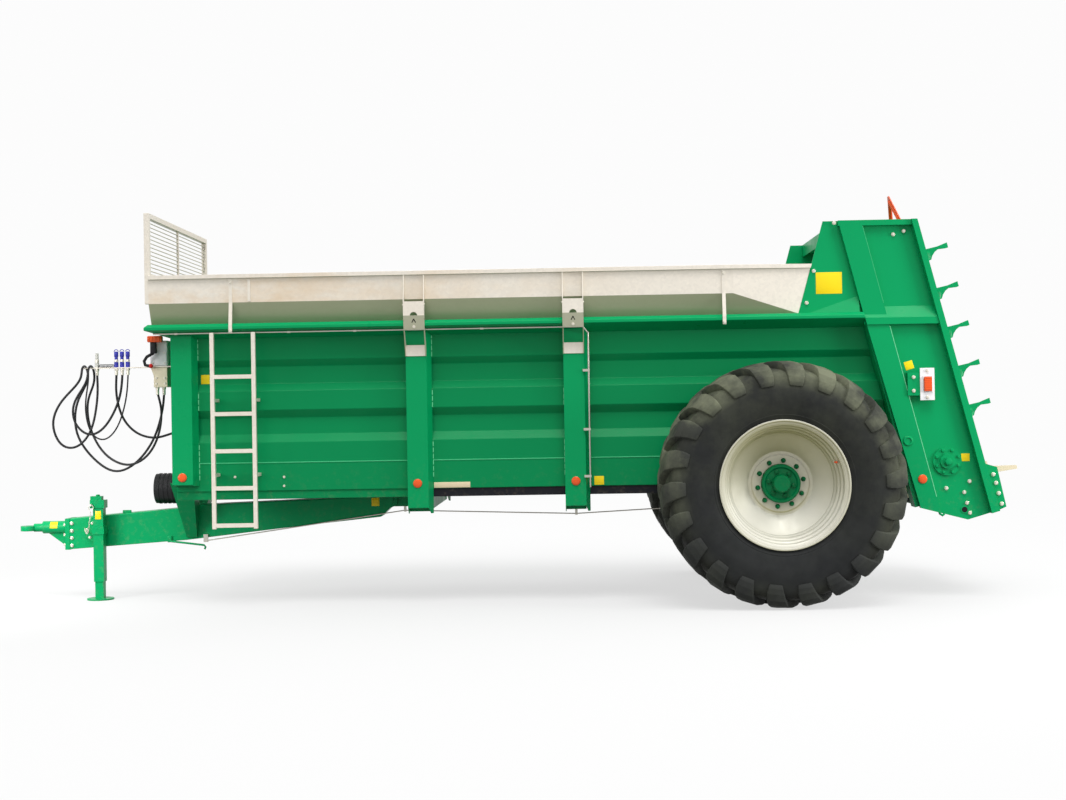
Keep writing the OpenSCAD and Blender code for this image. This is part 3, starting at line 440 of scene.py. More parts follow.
def spot_of(place, axis):
    """Matrix that puts the Z axis along a direction at a place."""
    return Matrix.Translation(place) @ Vector(axis).to_track_quat("Z", "Y").to_matrix().to_4x4()


def verts_in(geometry):
    return [item for item in geometry if isinstance(item, bmesh.types.BMVert)]


def join(mesh, part, spot=Matrix.Identity(4)):
    """Puts a small part at its place in the mesh that it belongs to."""
    bmesh.ops.remove_doubles(part, verts=part.verts, dist=0.000001)
    bmesh.ops.recalc_face_normals(part, faces=part.faces)
    bmesh.ops.transform(part, matrix=spot, verts=part.verts)
    data = bpy.data.meshes.new("part")
    part.to_mesh(data)
    part.free()
    mesh.from_mesh(data)
    bpy.data.meshes.remove(data)


def make_piece(name, mesh, look, body="chassis", replaced=None, crease=32, second=None):
    """Object of a bmesh, smooth but for its sharp edges, which rides on a body.

    Faces whose material index is 1 take the second look.
    """
    for face in mesh.faces:
        face.smooth = True
    for edge in mesh.edges:
        edge.smooth = len(edge.link_faces) == 2 and edge.calc_face_angle(0.0) < math.radians(crease)
    data = bpy.data.meshes.new(name)
    mesh.to_mesh(data)
    mesh.free()
    slot, material = LOOKS[look]
    data.materials.append(material)
    if second:
        data.materials.append(LOOKS[second][1])
    piece = bpy.data.objects.new(name, data)
    scene.collection.objects.link(piece)
    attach(piece, body)
    if replaced:
        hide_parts(replaced)
    return piece


def outline_edges(part, points, closed=False):
    """A line of vertices with the edges between them."""
    verts = [part.verts.new(point) for point in points]
    ends = verts[1:] + verts[:1] if closed else verts[1:]
    return verts + [part.edges.new(pair) for pair in zip(verts, ends)]


def lathe(mesh, place, axis, profile, segments=20, turn=0.0):
    """Turned form: the profile gives radius and height along the axis, and its ends are closed."""
    part = bmesh.new()
    whole = [(0, profile[0][1]), *profile, (0, profile[-1][1])]
    line = outline_edges(part, [(radius, 0, height) for radius, height in whole])
    bmesh.ops.spin(part, geom=line, cent=(0, 0, 0), axis=(0, 0, 1), angle=2 * math.pi, steps=segments,
                   use_merge=True)
    join(mesh, part, spot_of(place, axis) @ Matrix.Rotation(turn, 4, "Z"))


def bolt(mesh, place, axis, across=0.024, turn=0.3):
    """Hexagon head with a chamfered crown on a washer."""
    r = across / 2
    washer = 0.2 * across
    lathe(mesh, place, axis, [(1.35 * r, 0), (1.35 * r, 0.8 * washer), (1.2 * r, washer)], 16)
    head = Vector(place) + washer * Vector(axis)
    lathe(mesh, head, axis, [(1.15 * r, 0), (1.15 * r, 0.42 * across), (0.95 * r, 0.55 * across)], 6, turn)


def round_edges(part, edges, width):
    """Rounds the given edges, each with two faces."""
    bmesh.ops.bevel(part, geom=edges, offset=width, offset_type="OFFSET", segments=2, profile=0.5,
                    affect="EDGES", material=-1)


def block(mesh, low, high, rounding=0.001, turn=Matrix.Identity(4)):
    """Box between two corners, with rounded edges, turned about its middle."""
    part = bmesh.new()
    low, high = Vector(low), Vector(high)
    bmesh.ops.create_cube(part, size=1.0, matrix=Matrix.Diagonal((*(high - low), 1)))
    round_edges(part, part.edges[:], rounding)
    join(mesh, part, Matrix.Translation((low + high) / 2) @ turn)


def bar_spots(points, closed):
    """Matrices that put a circle across a line at each of its points."""
    spots = []
    turn = way = None
    last = len(points) - 1
    for i, point in enumerate(points):
        before = points[i - 1] if i > 0 or closed else point
        after = points[(i + 1) % len(points)] if i < last or closed else point
        ahead = (after - before).normalized()
        turn = way.rotation_difference(ahead) @ turn if way else ahead.to_track_quat("Z", "Y")
        way = ahead
        spots.append(Matrix.Translation(point) @ turn.to_matrix().to_4x4())
    return spots


def bar(mesh, points, radius, sides=8, closed=False):
    """Round bar along a line of points: a circle, extruded from each point to the next."""
    part = bmesh.new()
    spots = bar_spots(points, closed)
    circle = bmesh.ops.create_circle(part, segments=sides, radius=radius, cap_ends=not closed,
                                     matrix=spots[0])
    first = list({edge for vert in circle["verts"] for edge in vert.link_edges})
    ring = first
    for before, after in zip(spots, spots[1:]):
        grown = bmesh.ops.extrude_edge_only(part, edges=ring)["geom"]
        verts = set(verts_in(grown))
        ring = list({edge for vert in verts for edge in vert.link_edges if edge.other_vert(vert) in verts})
        bmesh.ops.transform(part, matrix=after @ before.inverted(), verts=list(verts))
    if closed:
        bmesh.ops.bridge_loops(part, edges=first + ring)
    else:
        bmesh.ops.contextual_create(part, geom=ring)
    join(mesh, part)


# Looks of the fine pieces, each with the slot that it belongs to
LOOKS = {slot: (slot, material) for slot, material in MATERIALS.items()}
LOOKS["yellow_film"] = ("white_plastic", plastic("yellow_film", linear(250, 218, 18), 0.35, 0.03))
LOOKS["cream_film"] = ("white_plastic", plastic("cream_film", linear(232, 214, 178), 0.4, 0.08))
LOOKS["zinc"] = ("bare_steel", metal("zinc", linear(226, 220, 206), 0.3, 0.6))
# A near-black that paints the shade inside holes and slots
LOOKS["hole_shade"] = ("black_plastic", plastic("hole_shade", linear(12, 12, 13), 0.8))
LOOKS["red_plastic"] = ("orange_lens", plastic("red_plastic", linear(206, 30, 26), 0.3))
# Pale greens, brighter than the paint: painted highlights on the weld beads and seams
LOOKS["weld"] = ("green", paint("weld", linear(118, 216, 164), 0.2, 0.4, 0.0, 0.2))
LOOKS["seam_highlight"] = ("green", paint("seam_highlight", linear(72, 192, 132), 0.25, 0.3, 0.0, 0.15))
# A darker copy of the tyre's rubber, near-black low in the grooves: painted shade between the lugs
LOOKS["carcass"] = ("tyre", rubber("carcass", linear(23, 24, 27), linear(36, 38, 38), 0.7, 0.9))
LOOKS["nut_green"] = ("green", paint("nut_green", linear(0, 98, 54), 0.3))


# Tyres: the solid's lugs in the same places, as bevelled bars on a turned carcass
LUGS = 22
PITCH = 2 * math.pi / LUGS
# Turn that puts the lugs over those of the solid
LUG_MIDDLE = 0.29 * PITCH
# Carcass from the middle of the tread to the bead: distance from the middle and radius
CARCASS = [
    (0.035, 0.843), (0.110, 0.838), (0.175, 0.832), (0.240, 0.818), (0.274, 0.806), (0.287, 0.793),
    (0.295, 0.770), (0.301, 0.745), (0.305, 0.720), (0.309, 0.690), (0.310, 0.660), (0.309, 0.632),
    (0.306, 0.612), (0.301, 0.590), (0.291, 0.552), (0.280, 0.520),
    (0.272, 0.505), (0.273, 0.501), (0.266, 0.492), (0.258, 0.480), (0.252, 0.462), (0.250, 0.433),
]
# Crown of a lug, outwards: distance from the middle, radius, tilt and sweep in degrees, height and width
LUG_CROWN = [
    (0.016, 0.860, 0, 0.4, 0.028, 0.100), (0.030, 0.880, 0, 0.9, 0.047, 0.110),
    (0.060, 0.885, 1, 2.1, 0.053, 0.116), (0.150, 0.884, 3, 5.2, 0.057, 0.126),
    (0.222, 0.874, 14, 7.8, 0.059, 0.136), (0.268, 0.858, 34, 9.3, 0.059, 0.140),
    (0.296, 0.824, 58, 10.3, 0.041, 0.134), (0.314, 0.775, 70, 11.1, 0.032, 0.118),
    (0.320, 0.735, 84, 11.4, 0.026, 0.102), (0.319, 0.706, 92, 11.4, 0.020, 0.088),
]
# How much wider a lug is at its foot, and the rounding of its edges
LUG_DRAFT = 1.10
LUG_ROUNDING = 0.006


def lug_section(y, radius, tilt, sweep, height, width):
    """Matrix that puts a unit square across a lug at one place of its crown."""
    spot = Matrix.Rotation(-math.radians(sweep), 4, "Y") @ Matrix.Translation((0, y, radius))
    spot = spot @ Matrix.Rotation(-math.radians(tilt), 4, "X") @ Matrix.Translation((0, 0, -height / 2))
    return spot @ Matrix.Rotation(math.pi / 2, 4, "X") @ Matrix.Diagonal((width, height, 1, 1))


def make_lug():
    """One lug for the outer half, made by extruding a square along its crown."""
    part = bmesh.new()
    sections = [lug_section(*station) for station in LUG_CROWN]
    square = bmesh.ops.create_grid(part, x_segments=1, y_segments=1, size=0.5)["verts"]
    foot = [vert for vert in square if vert.co.y < 0]
    bmesh.ops.scale(part, vec=(LUG_DRAFT, 1, 1), verts=foot)
    bmesh.ops.transform(part, matrix=sections[0], verts=square)
    end = part.faces[:]
    for before, after in zip(sections, sections[1:]):
        grown = bmesh.ops.extrude_face_region(part, geom=end)["geom"]
        bmesh.ops.transform(part, matrix=after @ before.inverted(), verts=verts_in(grown))
        end = [item for item in grown if isinstance(item, bmesh.types.BMFace)]
    sharp = [edge for edge in part.edges if edge.calc_face_angle(0.0) > math.radians(50)]
    round_edges(part, sharp, LUG_ROUNDING)
    return part


def make_tyre(name, side, body):
    mesh = bmesh.new()
    carcass = bmesh.new()
    half = [(0, y, radius) for y, radius in CARCASS]
    other_half = [(0, -y, radius) for y, radius in reversed(CARCASS)]
    bmesh.ops.spin(carcass, geom=outline_edges(carcass, half + other_half, closed=True), cent=(0, 0, 0),
                   axis=(0, 1, 0), angle=2 * math.pi, steps=6 * LUGS, use_merge=True)
    for face in carcass.faces:
        face.material_index = 1
    join(mesh, carcass)
    for half_side, offset in ((1, 0.0), (-1, 0.5)):
        lugs = make_lug()
        bmesh.ops.spin(lugs, geom=lugs.verts[:] + lugs.edges[:] + lugs.faces[:], cent=(0, 0, 0),
                       axis=(0, 1, 0), angle=2 * math.pi - PITCH, steps=LUGS - 1, use_duplicate=True)
        turn = Matrix.Rotation(LUG_MIDDLE + offset * PITCH, 4, "Y")
        join(mesh, lugs, turn @ Matrix.Diagonal((1, half_side, 1, 1)))
    place = Matrix.Translation(at(0, side * WHEEL_Y, AXLE_Z)) @ Matrix.Diagonal((1, side, 1, 1))
    bmesh.ops.transform(mesh, matrix=place, verts=mesh.verts)
    bmesh.ops.recalc_face_normals(mesh, faces=mesh.faces)
    make_piece(name + "_tread", mesh, "tyre", body, name, crease=40, second="carcass")


make_tyre("tyre_left", 1, "wheel_left")
make_tyre("tyre_right", -1, "wheel_right")


# Wheel fittings: stud nuts, hub bolts and valve
STUDS, STUD_CIRCLE_R = 10, 0.168
HUB_BOLTS, HUB_BOLT_R = 6, 0.090


def make_wheel_fittings(side, body):
    middle = at(0, side * WHEEL_Y, AXLE_Z)
    axis = side * OUT
    nuts = bmesh.new()
    for k in range(STUDS):
        a = math.radians(360 / STUDS * k - 8)
        spoke = Vector((math.sin(a), 0, math.cos(a)))
        place = middle + STUD_CIRCLE_R * spoke - 0.004 * axis
        lathe(nuts, place, axis, [(0.018, 0), (0.018, 0.004), (0.0155, 0.006)], 18)
        lathe(nuts, place + 0.006 * axis, axis, [(0.0145, 0), (0.0145, 0.02), (0.0115, 0.024)], 6, a)
        lathe(nuts, place + 0.03 * axis, axis, [(0.0105, 0), (0.0105, 0.012), (0.007, 0.016)], 14)
    for k in range(HUB_BOLTS):
        a = math.radians(360 / HUB_BOLTS * k + 20)
        place = middle + HUB_BOLT_R * Vector((math.sin(a), 0, math.cos(a))) + 0.036 * axis
        lathe(nuts, place, axis, [(0.019, 0), (0.018, 0.008), (0.010, 0.013)], 18)
    make_piece("nuts_" + body, nuts, "nut_green", body)
    valve = bmesh.new()
    start = middle + Vector((-0.373, 0, 0.154)) + 0.145 * axis
    lathe(valve, start, axis, [(0.009, 0), (0.009, 0.02), (0.006, 0.024), (0.006, 0.05), (0.008, 0.052),
                               (0.008, 0.068), (0.005, 0.072)], 14)
    make_piece("valve_" + body, valve, "marker_orange", body)


make_wheel_fittings(1, "wheel_left")
make_wheel_fittings(-1, "wheel_right")


# Bolts in the walls, the rear plates, the lamps, the boards' stays and the drawbar: the face that carries
# them, their size across the flats and their places along the machine and in height
BOLT_GROUPS = (
    (WALL_Y, 0.014, ((4.058, 0.981), (3.686, 0.976), (3.687, 0.908))),
    (PLATE_Y, 0.021, ((-1.429, 0.869), (-1.258, 0.820), (-1.389, 0.788), (-1.408, 0.709), (-1.428, 0.635),
                      (-0.899, 2.708), (-0.977, 2.731), (-0.308, 2.447), (-0.251, 2.211))),
    (0.907, 0.023, ((-1.603, 0.917), (-1.622, 0.854), (-1.640, 0.777), (-1.661, 0.699))),
    (LEAN_POST_Y, 0.022, ((-0.458, 2.797),)),
    (0.955, 0.020, ((-1.020, 1.645), (-1.020, 1.545))),
    (0.961, 0.018, ((-1.119, 1.495), (-1.119, 1.692))),
    (0.988, 0.020, ((4.037, 2.075), (0.366, 2.075))),
    (0.963, 0.018, ((4.037, 2.440), (0.366, 2.440))),
    (DRAWBAR_Y, 0.021, ((5.530, 0.602), (5.530, 0.542), (5.530, 0.485), (5.530, 0.425))),
)


def make_bolts():
    mesh = bmesh.new()
    for side in SIDES:
        for y, across, places in BOLT_GROUPS:
            for x, z in places:
                bolt(mesh, at(x, side * y, z), side * OUT, across)
        # on the drawbar's front plate
        for z in (0.590, 0.510, 0.430):
            bolt(mesh, at(5.585, side * 0.078, z), AHEAD, 0.023)
    make_piece("bolts", mesh, "zinc")


make_bolts()


# Bracket plates over the posts: a bolt in each leaning plate, and dark bent bars that paint the shade of its
# slot
BRACKET_TOP = Vector((0, 1.016, 2.165))
BRACKET_FOOT = Vector((0, 0.992, 2.072))


def make_bracket_fittings():
    bolts = bmesh.new()
    slots = bmesh.new()
    for side in SIDES:
        mirror = Matrix.Diagonal((1, side, 1))
        down = mirror @ (BRACKET_FOOT - BRACKET_TOP).normalized()
        face = Vector((0, -down.z * side, down.y * side)) * side
        for x in POST_XS:
            top = at(x, 0, 0) + mirror @ BRACKET_TOP
            bolt(bolts, top + 0.085 * down, face, 0.017)
            # Dark bent bars: painted shade inside the plate's slot
            for way in (1, -1):
                bar(slots, [top + 0.026 * down, top + 0.054 * down + way * 0.014 * AHEAD], 0.0035, 8)
            # pin through the two cheeks, above the leaning plate
            bar(bolts, [at(x - 0.084, side * 1.000, 2.245), at(x + 0.084, side * 1.000, 2.245)], 0.006, 10)
    make_piece("bracket_bolts", bolts, "zinc")
    make_piece("bracket_slot_shades", slots, "hole_shade")


make_bracket_fittings()


# Bearing flange's bolts, the plug in the leaning post and the hook below it, in the body's colour
HOOK = ((-1.190, 0.908, 0.690), (-1.196, 0.912, 0.660), (-1.204, 0.916, 0.632), (-1.222, 0.918, 0.620),
        (-1.236, 0.916, 0.632))


def make_rear_fittings():
    mesh = bmesh.new()
    holes = bmesh.new()
    for side in SIDES:
        axis = side * OUT
        bearing = at(-1.267, side * 0.915, 1.020)
        for k in range(8):
            a = math.radians(45 * k + 22)
            bolt(mesh, bearing + 0.086 * Vector((math.cos(a), 0, math.sin(a))), axis, 0.019, a)
        lathe(mesh, bearing + 0.034 * axis, axis, [(0.026, 0), (0.026, 0.012), (0.018, 0.014)], 6)
        plug = at(-0.974, side * LEAN_POST_Y, 1.175)
        lathe(mesh, plug, axis,
              [(0.036, 0), (0.036, 0.006), (0.030, 0.010), (0.024, 0.010), (0.022, 0.004)], 28)
        bar(mesh, [at(x, side * y, z) for x, y, z in HOOK], 0.009, 10)
        hole = at(-1.389, side * PLATE_Y, 0.660)
        lathe(mesh, hole, axis, [(0.030, 0), (0.030, 0.003), (0.024, 0.004)], 24)
        # A near-black disc in the ring: painted shade inside the hole
        lathe(holes, hole + 0.003 * axis, axis, [(0.021, 0), (0.021, 0.0022), (0.016, 0.0026)], 24)
    make_piece("rear_fittings", mesh, "green")
    make_piece("rear_hole_shades", holes, "hole_shade")


make_rear_fittings()


# Reflectors on the posts, blank stickers and the blank plate. A sticker's place is its span along the
# machine, the face that carries it and its span in height.
STICKERS = (
    (-0.515, -0.322, PLATE_Y, 2.276, 2.436), (-1.432, -1.371, PLATE_Y, 1.018, 1.075),
    (4.249, 4.315, 0.755, 1.688, 1.758), (5.254, 5.300, 0.230, 0.640, 0.706),
    (3.054, 3.116, DRAWBAR_Y, 0.704, 0.770), (1.273, 1.345, WALL_Y, 0.880, 0.946),
)
STICKER_T = 0.0016


def make_marks():
    mesh = bmesh.new()
    rings = bmesh.new()
    for side in SIDES:
        axis = side * OUT
        for x, y, z in ((4.439, POST_Y, 0.985), (2.668, POST_Y, 0.915), (1.483, POST_Y, 0.915),
                        (-1.076, LEAN_POST_Y, 0.892)):
            place = at(x, side * y, z)
            lathe(rings, place, axis, [(0.033, 0), (0.033, 0.005), (0.030, 0.007)], 32)
            lathe(mesh, place + 0.005 * axis, axis,
                  [(0.029, 0), (0.029, 0.004), (0.025, 0.006), (0.012, 0.0075), (0.001, 0.008)], 32)
    make_piece("reflectors", mesh, "orange_lens")
    make_piece("reflector_rims", rings, "marker_orange")
    films = bmesh.new()
    for x0, x1, y, z0, z1 in STICKERS:
        block(films, at(x0, y, z0), at(x1, y + STICKER_T, z1), 0.0005)
    # sticker above the lamp, put on askew
    tilt = Matrix.Rotation(math.radians(16), 4, "Y")
    block(films, at(-1.030, PLATE_Y, 1.704), at(-0.967, PLATE_Y + STICKER_T, 1.766), 0.0005, tilt)
    # sticker bent round the towing eye's tube
    bent = bmesh.new()
    corners = [(-0.03, 0, 0.0504), (-0.03, 0, 0.0514), (0.03, 0, 0.0514), (0.03, 0, 0.0504)]
    end = bent.faces.new(verts_in(outline_edges(bent, corners, True)))
    bmesh.ops.spin(bent, geom=[end], cent=(0, 0, 0), axis=(-1, 0, 0), angle=math.radians(66), steps=6)
    join(films, bent, Matrix.Translation(at(5.694, 0, 0.567)) @ Matrix.Rotation(math.radians(-30), 4, "X"))
    make_piece("stickers", films, "yellow_film")
    blank = bmesh.new()
    block(blank, at(2.279, WALL_Y, 0.876), at(2.552, WALL_Y + 0.0025, 0.918), 0.0008)
    make_piece("blank_plate", blank, "cream_film")


make_marks()


# Weld beads painted pale as highlights, in stitches beside the posts on the wall's flat heights, and along
# the floor between the posts; the pale lines up the leaning post's outer edge are painted highlights of that
# edge
WALL_FLATS = ((0.960, 1.238), (1.486, 1.625), (1.866, 2.024))
POST_WELDS = tuple(x + edge for x in (*POST_XS, FRONT_POST_X) for edge in (-0.110, 0.078))
STITCH, STITCH_GAP, STITCH_R = 0.036, 0.010, 0.0042
FLOOR_SEAMS = ((-0.86, 1.375), (1.563, 2.555), (2.743, 4.327))
FLOOR_SEAM_Z, FLOOR_SEAM_R = 1.086, 0.004
POST_EDGE = 0.312


def make_welds():
    beads = bmesh.new()
    seams = bmesh.new()
    for side in SIDES:
        for x in POST_WELDS:
            for z0, z1 in WALL_FLATS:
                z = z0
                while z < z1:
                    top = min(z + STITCH, z1)
                    bar(beads, [at(x, side * (WALL_Y + 0.001), end) for end in (z, top)], STITCH_R, 6)
                    z = top + STITCH_GAP
        for x0, x1 in FLOOR_SEAMS:
            bar(seams, [at(x, side * (WALL_Y + 0.0005), FLOOR_SEAM_Z) for x in (x0, x1)], FLOOR_SEAM_R, 6)
        # Painted highlights down the leaning post's outer edge, paler low down and light green higher up
        edge_y = side * (LEAN_POST_Y - 0.001)
        bar(beads, [at(lean_x(POST_EDGE, z), edge_y - side * 0.0005, z) for z in (0.760, 2.030)], 0.003, 6)
        bar(seams, [at(lean_x(POST_EDGE, z), edge_y, z) for z in (2.200, 2.770)], 0.002, 6)
    make_piece("weld_and_edge_highlights", beads, "weld")
    make_piece("seam_and_edge_highlights", seams, "seam_highlight")


make_welds()


# Front fittings: lever, grip, hose fittings, coil on the rack and caps on the couplings
COUPLING_XS = (0.435, 0.480, 0.525, 0.676)
RACK_Y = 0.500
BOX_FACE_Y = 0.640
# Heights of the valve block's foot and of the couplings' foot, collar and top
VALVE_FOOT_Z = 1.672
COUPLING_FOOT_Z, COLLAR_Z, COUPLING_TOP_Z = 1.826, 1.874, 1.946
# Bend of the control lever
LEVER = ((4.690, 0.640, 1.955), (4.690, 0.672, 1.958), (4.700, 0.686, 1.930), (4.745, 0.690, 1.905),
         (4.766, 0.690, 1.872), (4.758, 0.690, 1.842), (4.728, 0.690, 1.836))


def make_lever():
    arm = bmesh.new()
    bar(arm, [at(*point) for point in LEVER], 0.012, 12)
    block(arm, at(4.672, 0.664, 1.930), at(4.716, 0.706, 2.016), 0.006)
    make_piece("lever_arm", arm, "black_plastic")
    grip = bmesh.new()
    block(grip, at(4.624, 0.660, 2.014), at(4.738, 0.712, 2.064), 0.010)
    for k in range(4):
        x = 4.640 + 0.026 * k
        block(grip, at(x, 0.711, 2.022), at(x + 0.010, 0.7155, 2.056), 0.002)
    make_piece("lever_grip", grip, "orange_lens")
    knob = bmesh.new()
    lathe(knob, at(4.729, 0.690, 1.836), Vector((-1, 0, -0.1)).normalized(),
          [(0.008, 0), (0.015, 0.004), (0.018, 0.014), (0.015, 0.024), (0.008, 0.030)], 20)
    make_piece("lever_knob", knob, "red_plastic")


def make_hose_fittings():
    mesh = bmesh.new()
    # nut and sleeve where each hose leaves the valve block or a coupling
    for x, y in ((0.140, 0.560), (0.180, 0.600)):
        place = at(FRONT_X + x, y, VALVE_FOOT_Z)
        lathe(mesh, place, -UP, [(0.016, 0), (0.016, 0.014), (0.014, 0.016)], 6)
        lathe(mesh, place - 0.016 * UP, -UP, [(0.0125, 0), (0.0125, 0.040), (0.0105, 0.042)], 20)
    for x in COUPLING_XS:
        under = at(FRONT_X + x, RACK_Y, COUPLING_FOOT_Z)
        lathe(mesh, under, -UP, [(0.017, 0), (0.017, 0.014), (0.015, 0.016)], 6)
        lathe(mesh, under - 0.016 * UP, -UP, [(0.012, 0), (0.012, 0.034), (0.0105, 0.036)], 20)
        over = at(FRONT_X + x, RACK_Y, COLLAR_Z)
        lathe(mesh, over, UP, [(0.0135, 0), (0.0155, 0.003), (0.0155, 0.018), (0.0135, 0.021)], 24)
    for x in (0.112, 0.205):
        for z in (1.856, 1.935):
            bolt(mesh, at(FRONT_X + x, BOX_FACE_Y, z), OUT, 0.010)
    for x in (0.112, 0.176):
        for z in (1.700, 1.742):
            bolt(mesh, at(FRONT_X + x, BOX_FACE_Y, z), OUT, 0.013)
    make_piece("hose_fittings", mesh, "zinc")


def make_rack_coil():
    """Coiled spring round the rack's bar, which keeps the hoses apart."""
    mesh = bmesh.new()
    turns, steps = 11, 12
    coil = []
    for k in range(turns * steps + 1):
        a = 2 * math.pi * k / steps
        x = FRONT_X + 0.548 + 0.010 * k / steps
        coil.append(at(x, RACK_Y + 0.026 * math.cos(a), 1.846 + 0.012 * math.sin(a)))
    bar(mesh, coil, 0.0024, 6)
    make_piece("rack_coil", mesh, "hose_rubber")


def make_coupling_caps():
    mesh = bmesh.new()
    for x in COUPLING_XS[:3]:
        top = at(FRONT_X + x, RACK_Y, COUPLING_TOP_Z)
        lathe(mesh, top, UP,
              [(0.015, -0.03), (0.0165, -0.027), (0.0165, 0.004), (0.013, 0.010), (0.004, 0.012)], 24)
        loop = [top + Vector((0.0165 * math.cos(a), 0, 0.010 + 0.016 * math.sin(a)))
                for a in (math.pi * k / 8 for k in range(9))]
        bar(mesh, loop, 0.003, 8)
    make_piece("coupling_caps", mesh, "blue_plastic")


def make_control_lid():
    mesh = bmesh.new()
    block(mesh, at(FRONT_X + 0.096, 0.4385, 1.838), at(FRONT_X + 0.219, 0.6425, 1.946), 0.003)
    make_piece("control_lid", mesh, "white_plastic")


make_lever()
make_hose_fittings()
make_rack_coil()
make_coupling_caps()
make_control_lid()


# Drawbar: arm below it with its hook, jack's pin, chain and screw
JACK_X = 5.278
JACK_Y = 0.190
# Bend of the thin arm
LOW_ARM = ((4.739, 0.104, 0.462), (4.730, 0.112, 0.448), (4.600, 0.114, 0.432), (4.462, 0.114, 0.414),
           (4.450, 0.114, 0.398), (4.458, 0.114, 0.382))


def make_drawbar_arm():
    mesh = bmesh.new()
    bar(mesh, [at(*point) for point in LOW_ARM], 0.008, 10)
    block(mesh, at(4.722, 0.100, 0.440), at(4.756, 0.116, 0.492), 0.003)
    block(mesh, at(5.060, 0.040, 0.655), at(5.130, 0.060, 0.700), 0.006)
    # end of the jack's screw
    lathe(mesh, at(JACK_X + 0.010, JACK_Y, 0.822), UP, [(0.016, 0), (0.016, 0.010), (0.011, 0.013)], 16)
    make_piece("drawbar_arm", mesh, "green")


def make_jack_fittings():
    mesh = bmesh.new()
    pin = at(JACK_X + 0.050, JACK_Y + 0.048, 0.753)
    lathe(mesh, pin - 0.012 * OUT, OUT, [(0.010, 0), (0.010, 0.030), (0.007, 0.034)], 16)
    ring = [pin + Vector((0.020 * math.cos(a), 0.016, 0.020 * math.sin(a) - 0.018))
            for a in (2 * math.pi * k / 20 for k in range(20))]
    bar(mesh, ring, 0.003, 8, True)
    # chain hanging from the pin to the swivel plate
    start = pin + Vector((0, 0.018, -0.038))
    end = at(5.416, 0.128, 0.560)
    links, sag = 15, 0.10
    for k in range(links):
        t = (k + 0.5) / links
        place = start.lerp(end, t) - sag * math.sin(math.pi * t) * UP
        way = (end - start) / links - sag * math.pi / links * math.cos(math.pi * t) * UP
        turn = way.to_track_quat("X", "Z" if k % 2 else "Y").to_matrix()
        link = [place + turn @ Vector((0.013 * math.cos(a), 0.006 * math.sin(a), 0))
                for a in (2 * math.pi * n / 12 for n in range(12))]
        bar(mesh, link, 0.0019, 6, True)
    swivel = at(JACK_X + 0.060, 0.114, 0.540)
    for k in range(6):
        a = math.radians(60 * k + 10)
        bolt(mesh, swivel + 0.066 * Vector((math.cos(a), 0, math.sin(a))), OUT, 0.016, a)
    make_piece("jack_fittings", mesh, "zinc")


make_drawbar_arm()
make_jack_fittings()


# Lamps: a housing rim and ribs on the lenses
def make_lamp_details():
    lens = bmesh.new()
    rims = bmesh.new()
    for side in SIDES:
        y0, y1 = sorted((side * 0.9845, side * 0.9875))
        for k in range(6):
            z = 1.553 + 0.016 * k
            block(lens, at(-1.144, y0, z), at(-1.098, y1, z + 0.007), 0.001)
        corners = ((-1.154, 1.536), (-1.088, 1.536), (-1.088, 1.650), (-1.154, 1.650))
        bar(rims, [at(x, side * 0.9625, z) for x, z in corners], 0.0045, 8, True)
    make_piece("lens_ribs", lens, "orange_lens")
    make_piece("lens_rims", rims, "white_plastic")


make_lamp_details()


# Marker: round rims on the three sides of the triangle, from its lower corners to its tip
MARKER_CORNERS = ((0, -0.138, 0.022), (0, 0.138, 0.022), (0, 0, 0.272))


def make_marker_rims():
    mesh = bmesh.new()
    lean = Matrix.Translation(at(HOUSE_X, 0, HOUSE_Z)) @ Matrix.Rotation(LEAN, 4, "Y")
    spot = lean @ Matrix.Translation((-0.134, 0, 2.212)) @ Matrix.Rotation(math.radians(9), 4, "Z")
    corners = [spot @ Vector(corner) for corner in MARKER_CORNERS]
    for start, end in ((0, 2), (1, 2), (0, 1)):
        bar(mesh, (corners[start], corners[end]), 0.016, 12)
    make_piece("marker_rims", mesh, "marker_orange")


make_marker_rims()


# Small roundings on the solids' edges
EDGE_ROUNDINGS = {
    "drawbar": 0.008, "towing_eye": 0.003, "posts": 0.003, "top_rail": 0.003, "ladder": 0.004,
    "jack_tube": 0.004, "jack_leg": 0.004, "lamps": 0.005, "control_box": 0.008, "valve_block": 0.004,
    "gear_beam": 0.006, "rear_top_beam": 0.003, "cross_members": 0.006, "rim_left": 0.003,
    "rim_right": 0.003, "hub_left": 0.004, "hub_right": 0.004, "front_wall": 0.003,
    "side_wall_left": 0.004, "side_wall_right": 0.004, "rear_side_left": 0.002, "rear_side_right": 0.002,
    "sills": 0.004, "axle": 0.004, "marker": 0.0015, "board_left": 0.0015, "board_right": 0.0015,
    "board_front": 0.0015, "guard": 0.002, "lamp_boards": 0.001,
}
for name, width in EDGE_ROUNDINGS.items():
    weld = nodes[name].modifiers.new("weld", "WELD")
    weld.merge_threshold = 0.00005
    soften = nodes[name].modifiers.new("soften", "BEVEL")
    soften.width = width
    soften.segments = 2
    soften.limit_method = "ANGLE"
    soften.angle_limit = math.radians(30)
    soften.harden_normals = False


# Studio: floor and surroundings that are white to the eye, soft light all round, a light from above the
# left side and two soft boxes, one at each end
WHITE = 0.975
# The floor's grey for the light that it throws back, and what the eye sees of it near the machine
FLOOR_GREY = 0.20
FLOOR_SHADED = 0.24
FLOOR_GLOW = 0.62
# Distances between which the seen floor fades into the white surroundings
NEAR, FAR = 5.0, 13.0
# Strength of the soft light from level and from above
LEVEL_LIGHT, TOP_LIGHT = 0.85, 1.15
BOX_WIDTH = 2.0


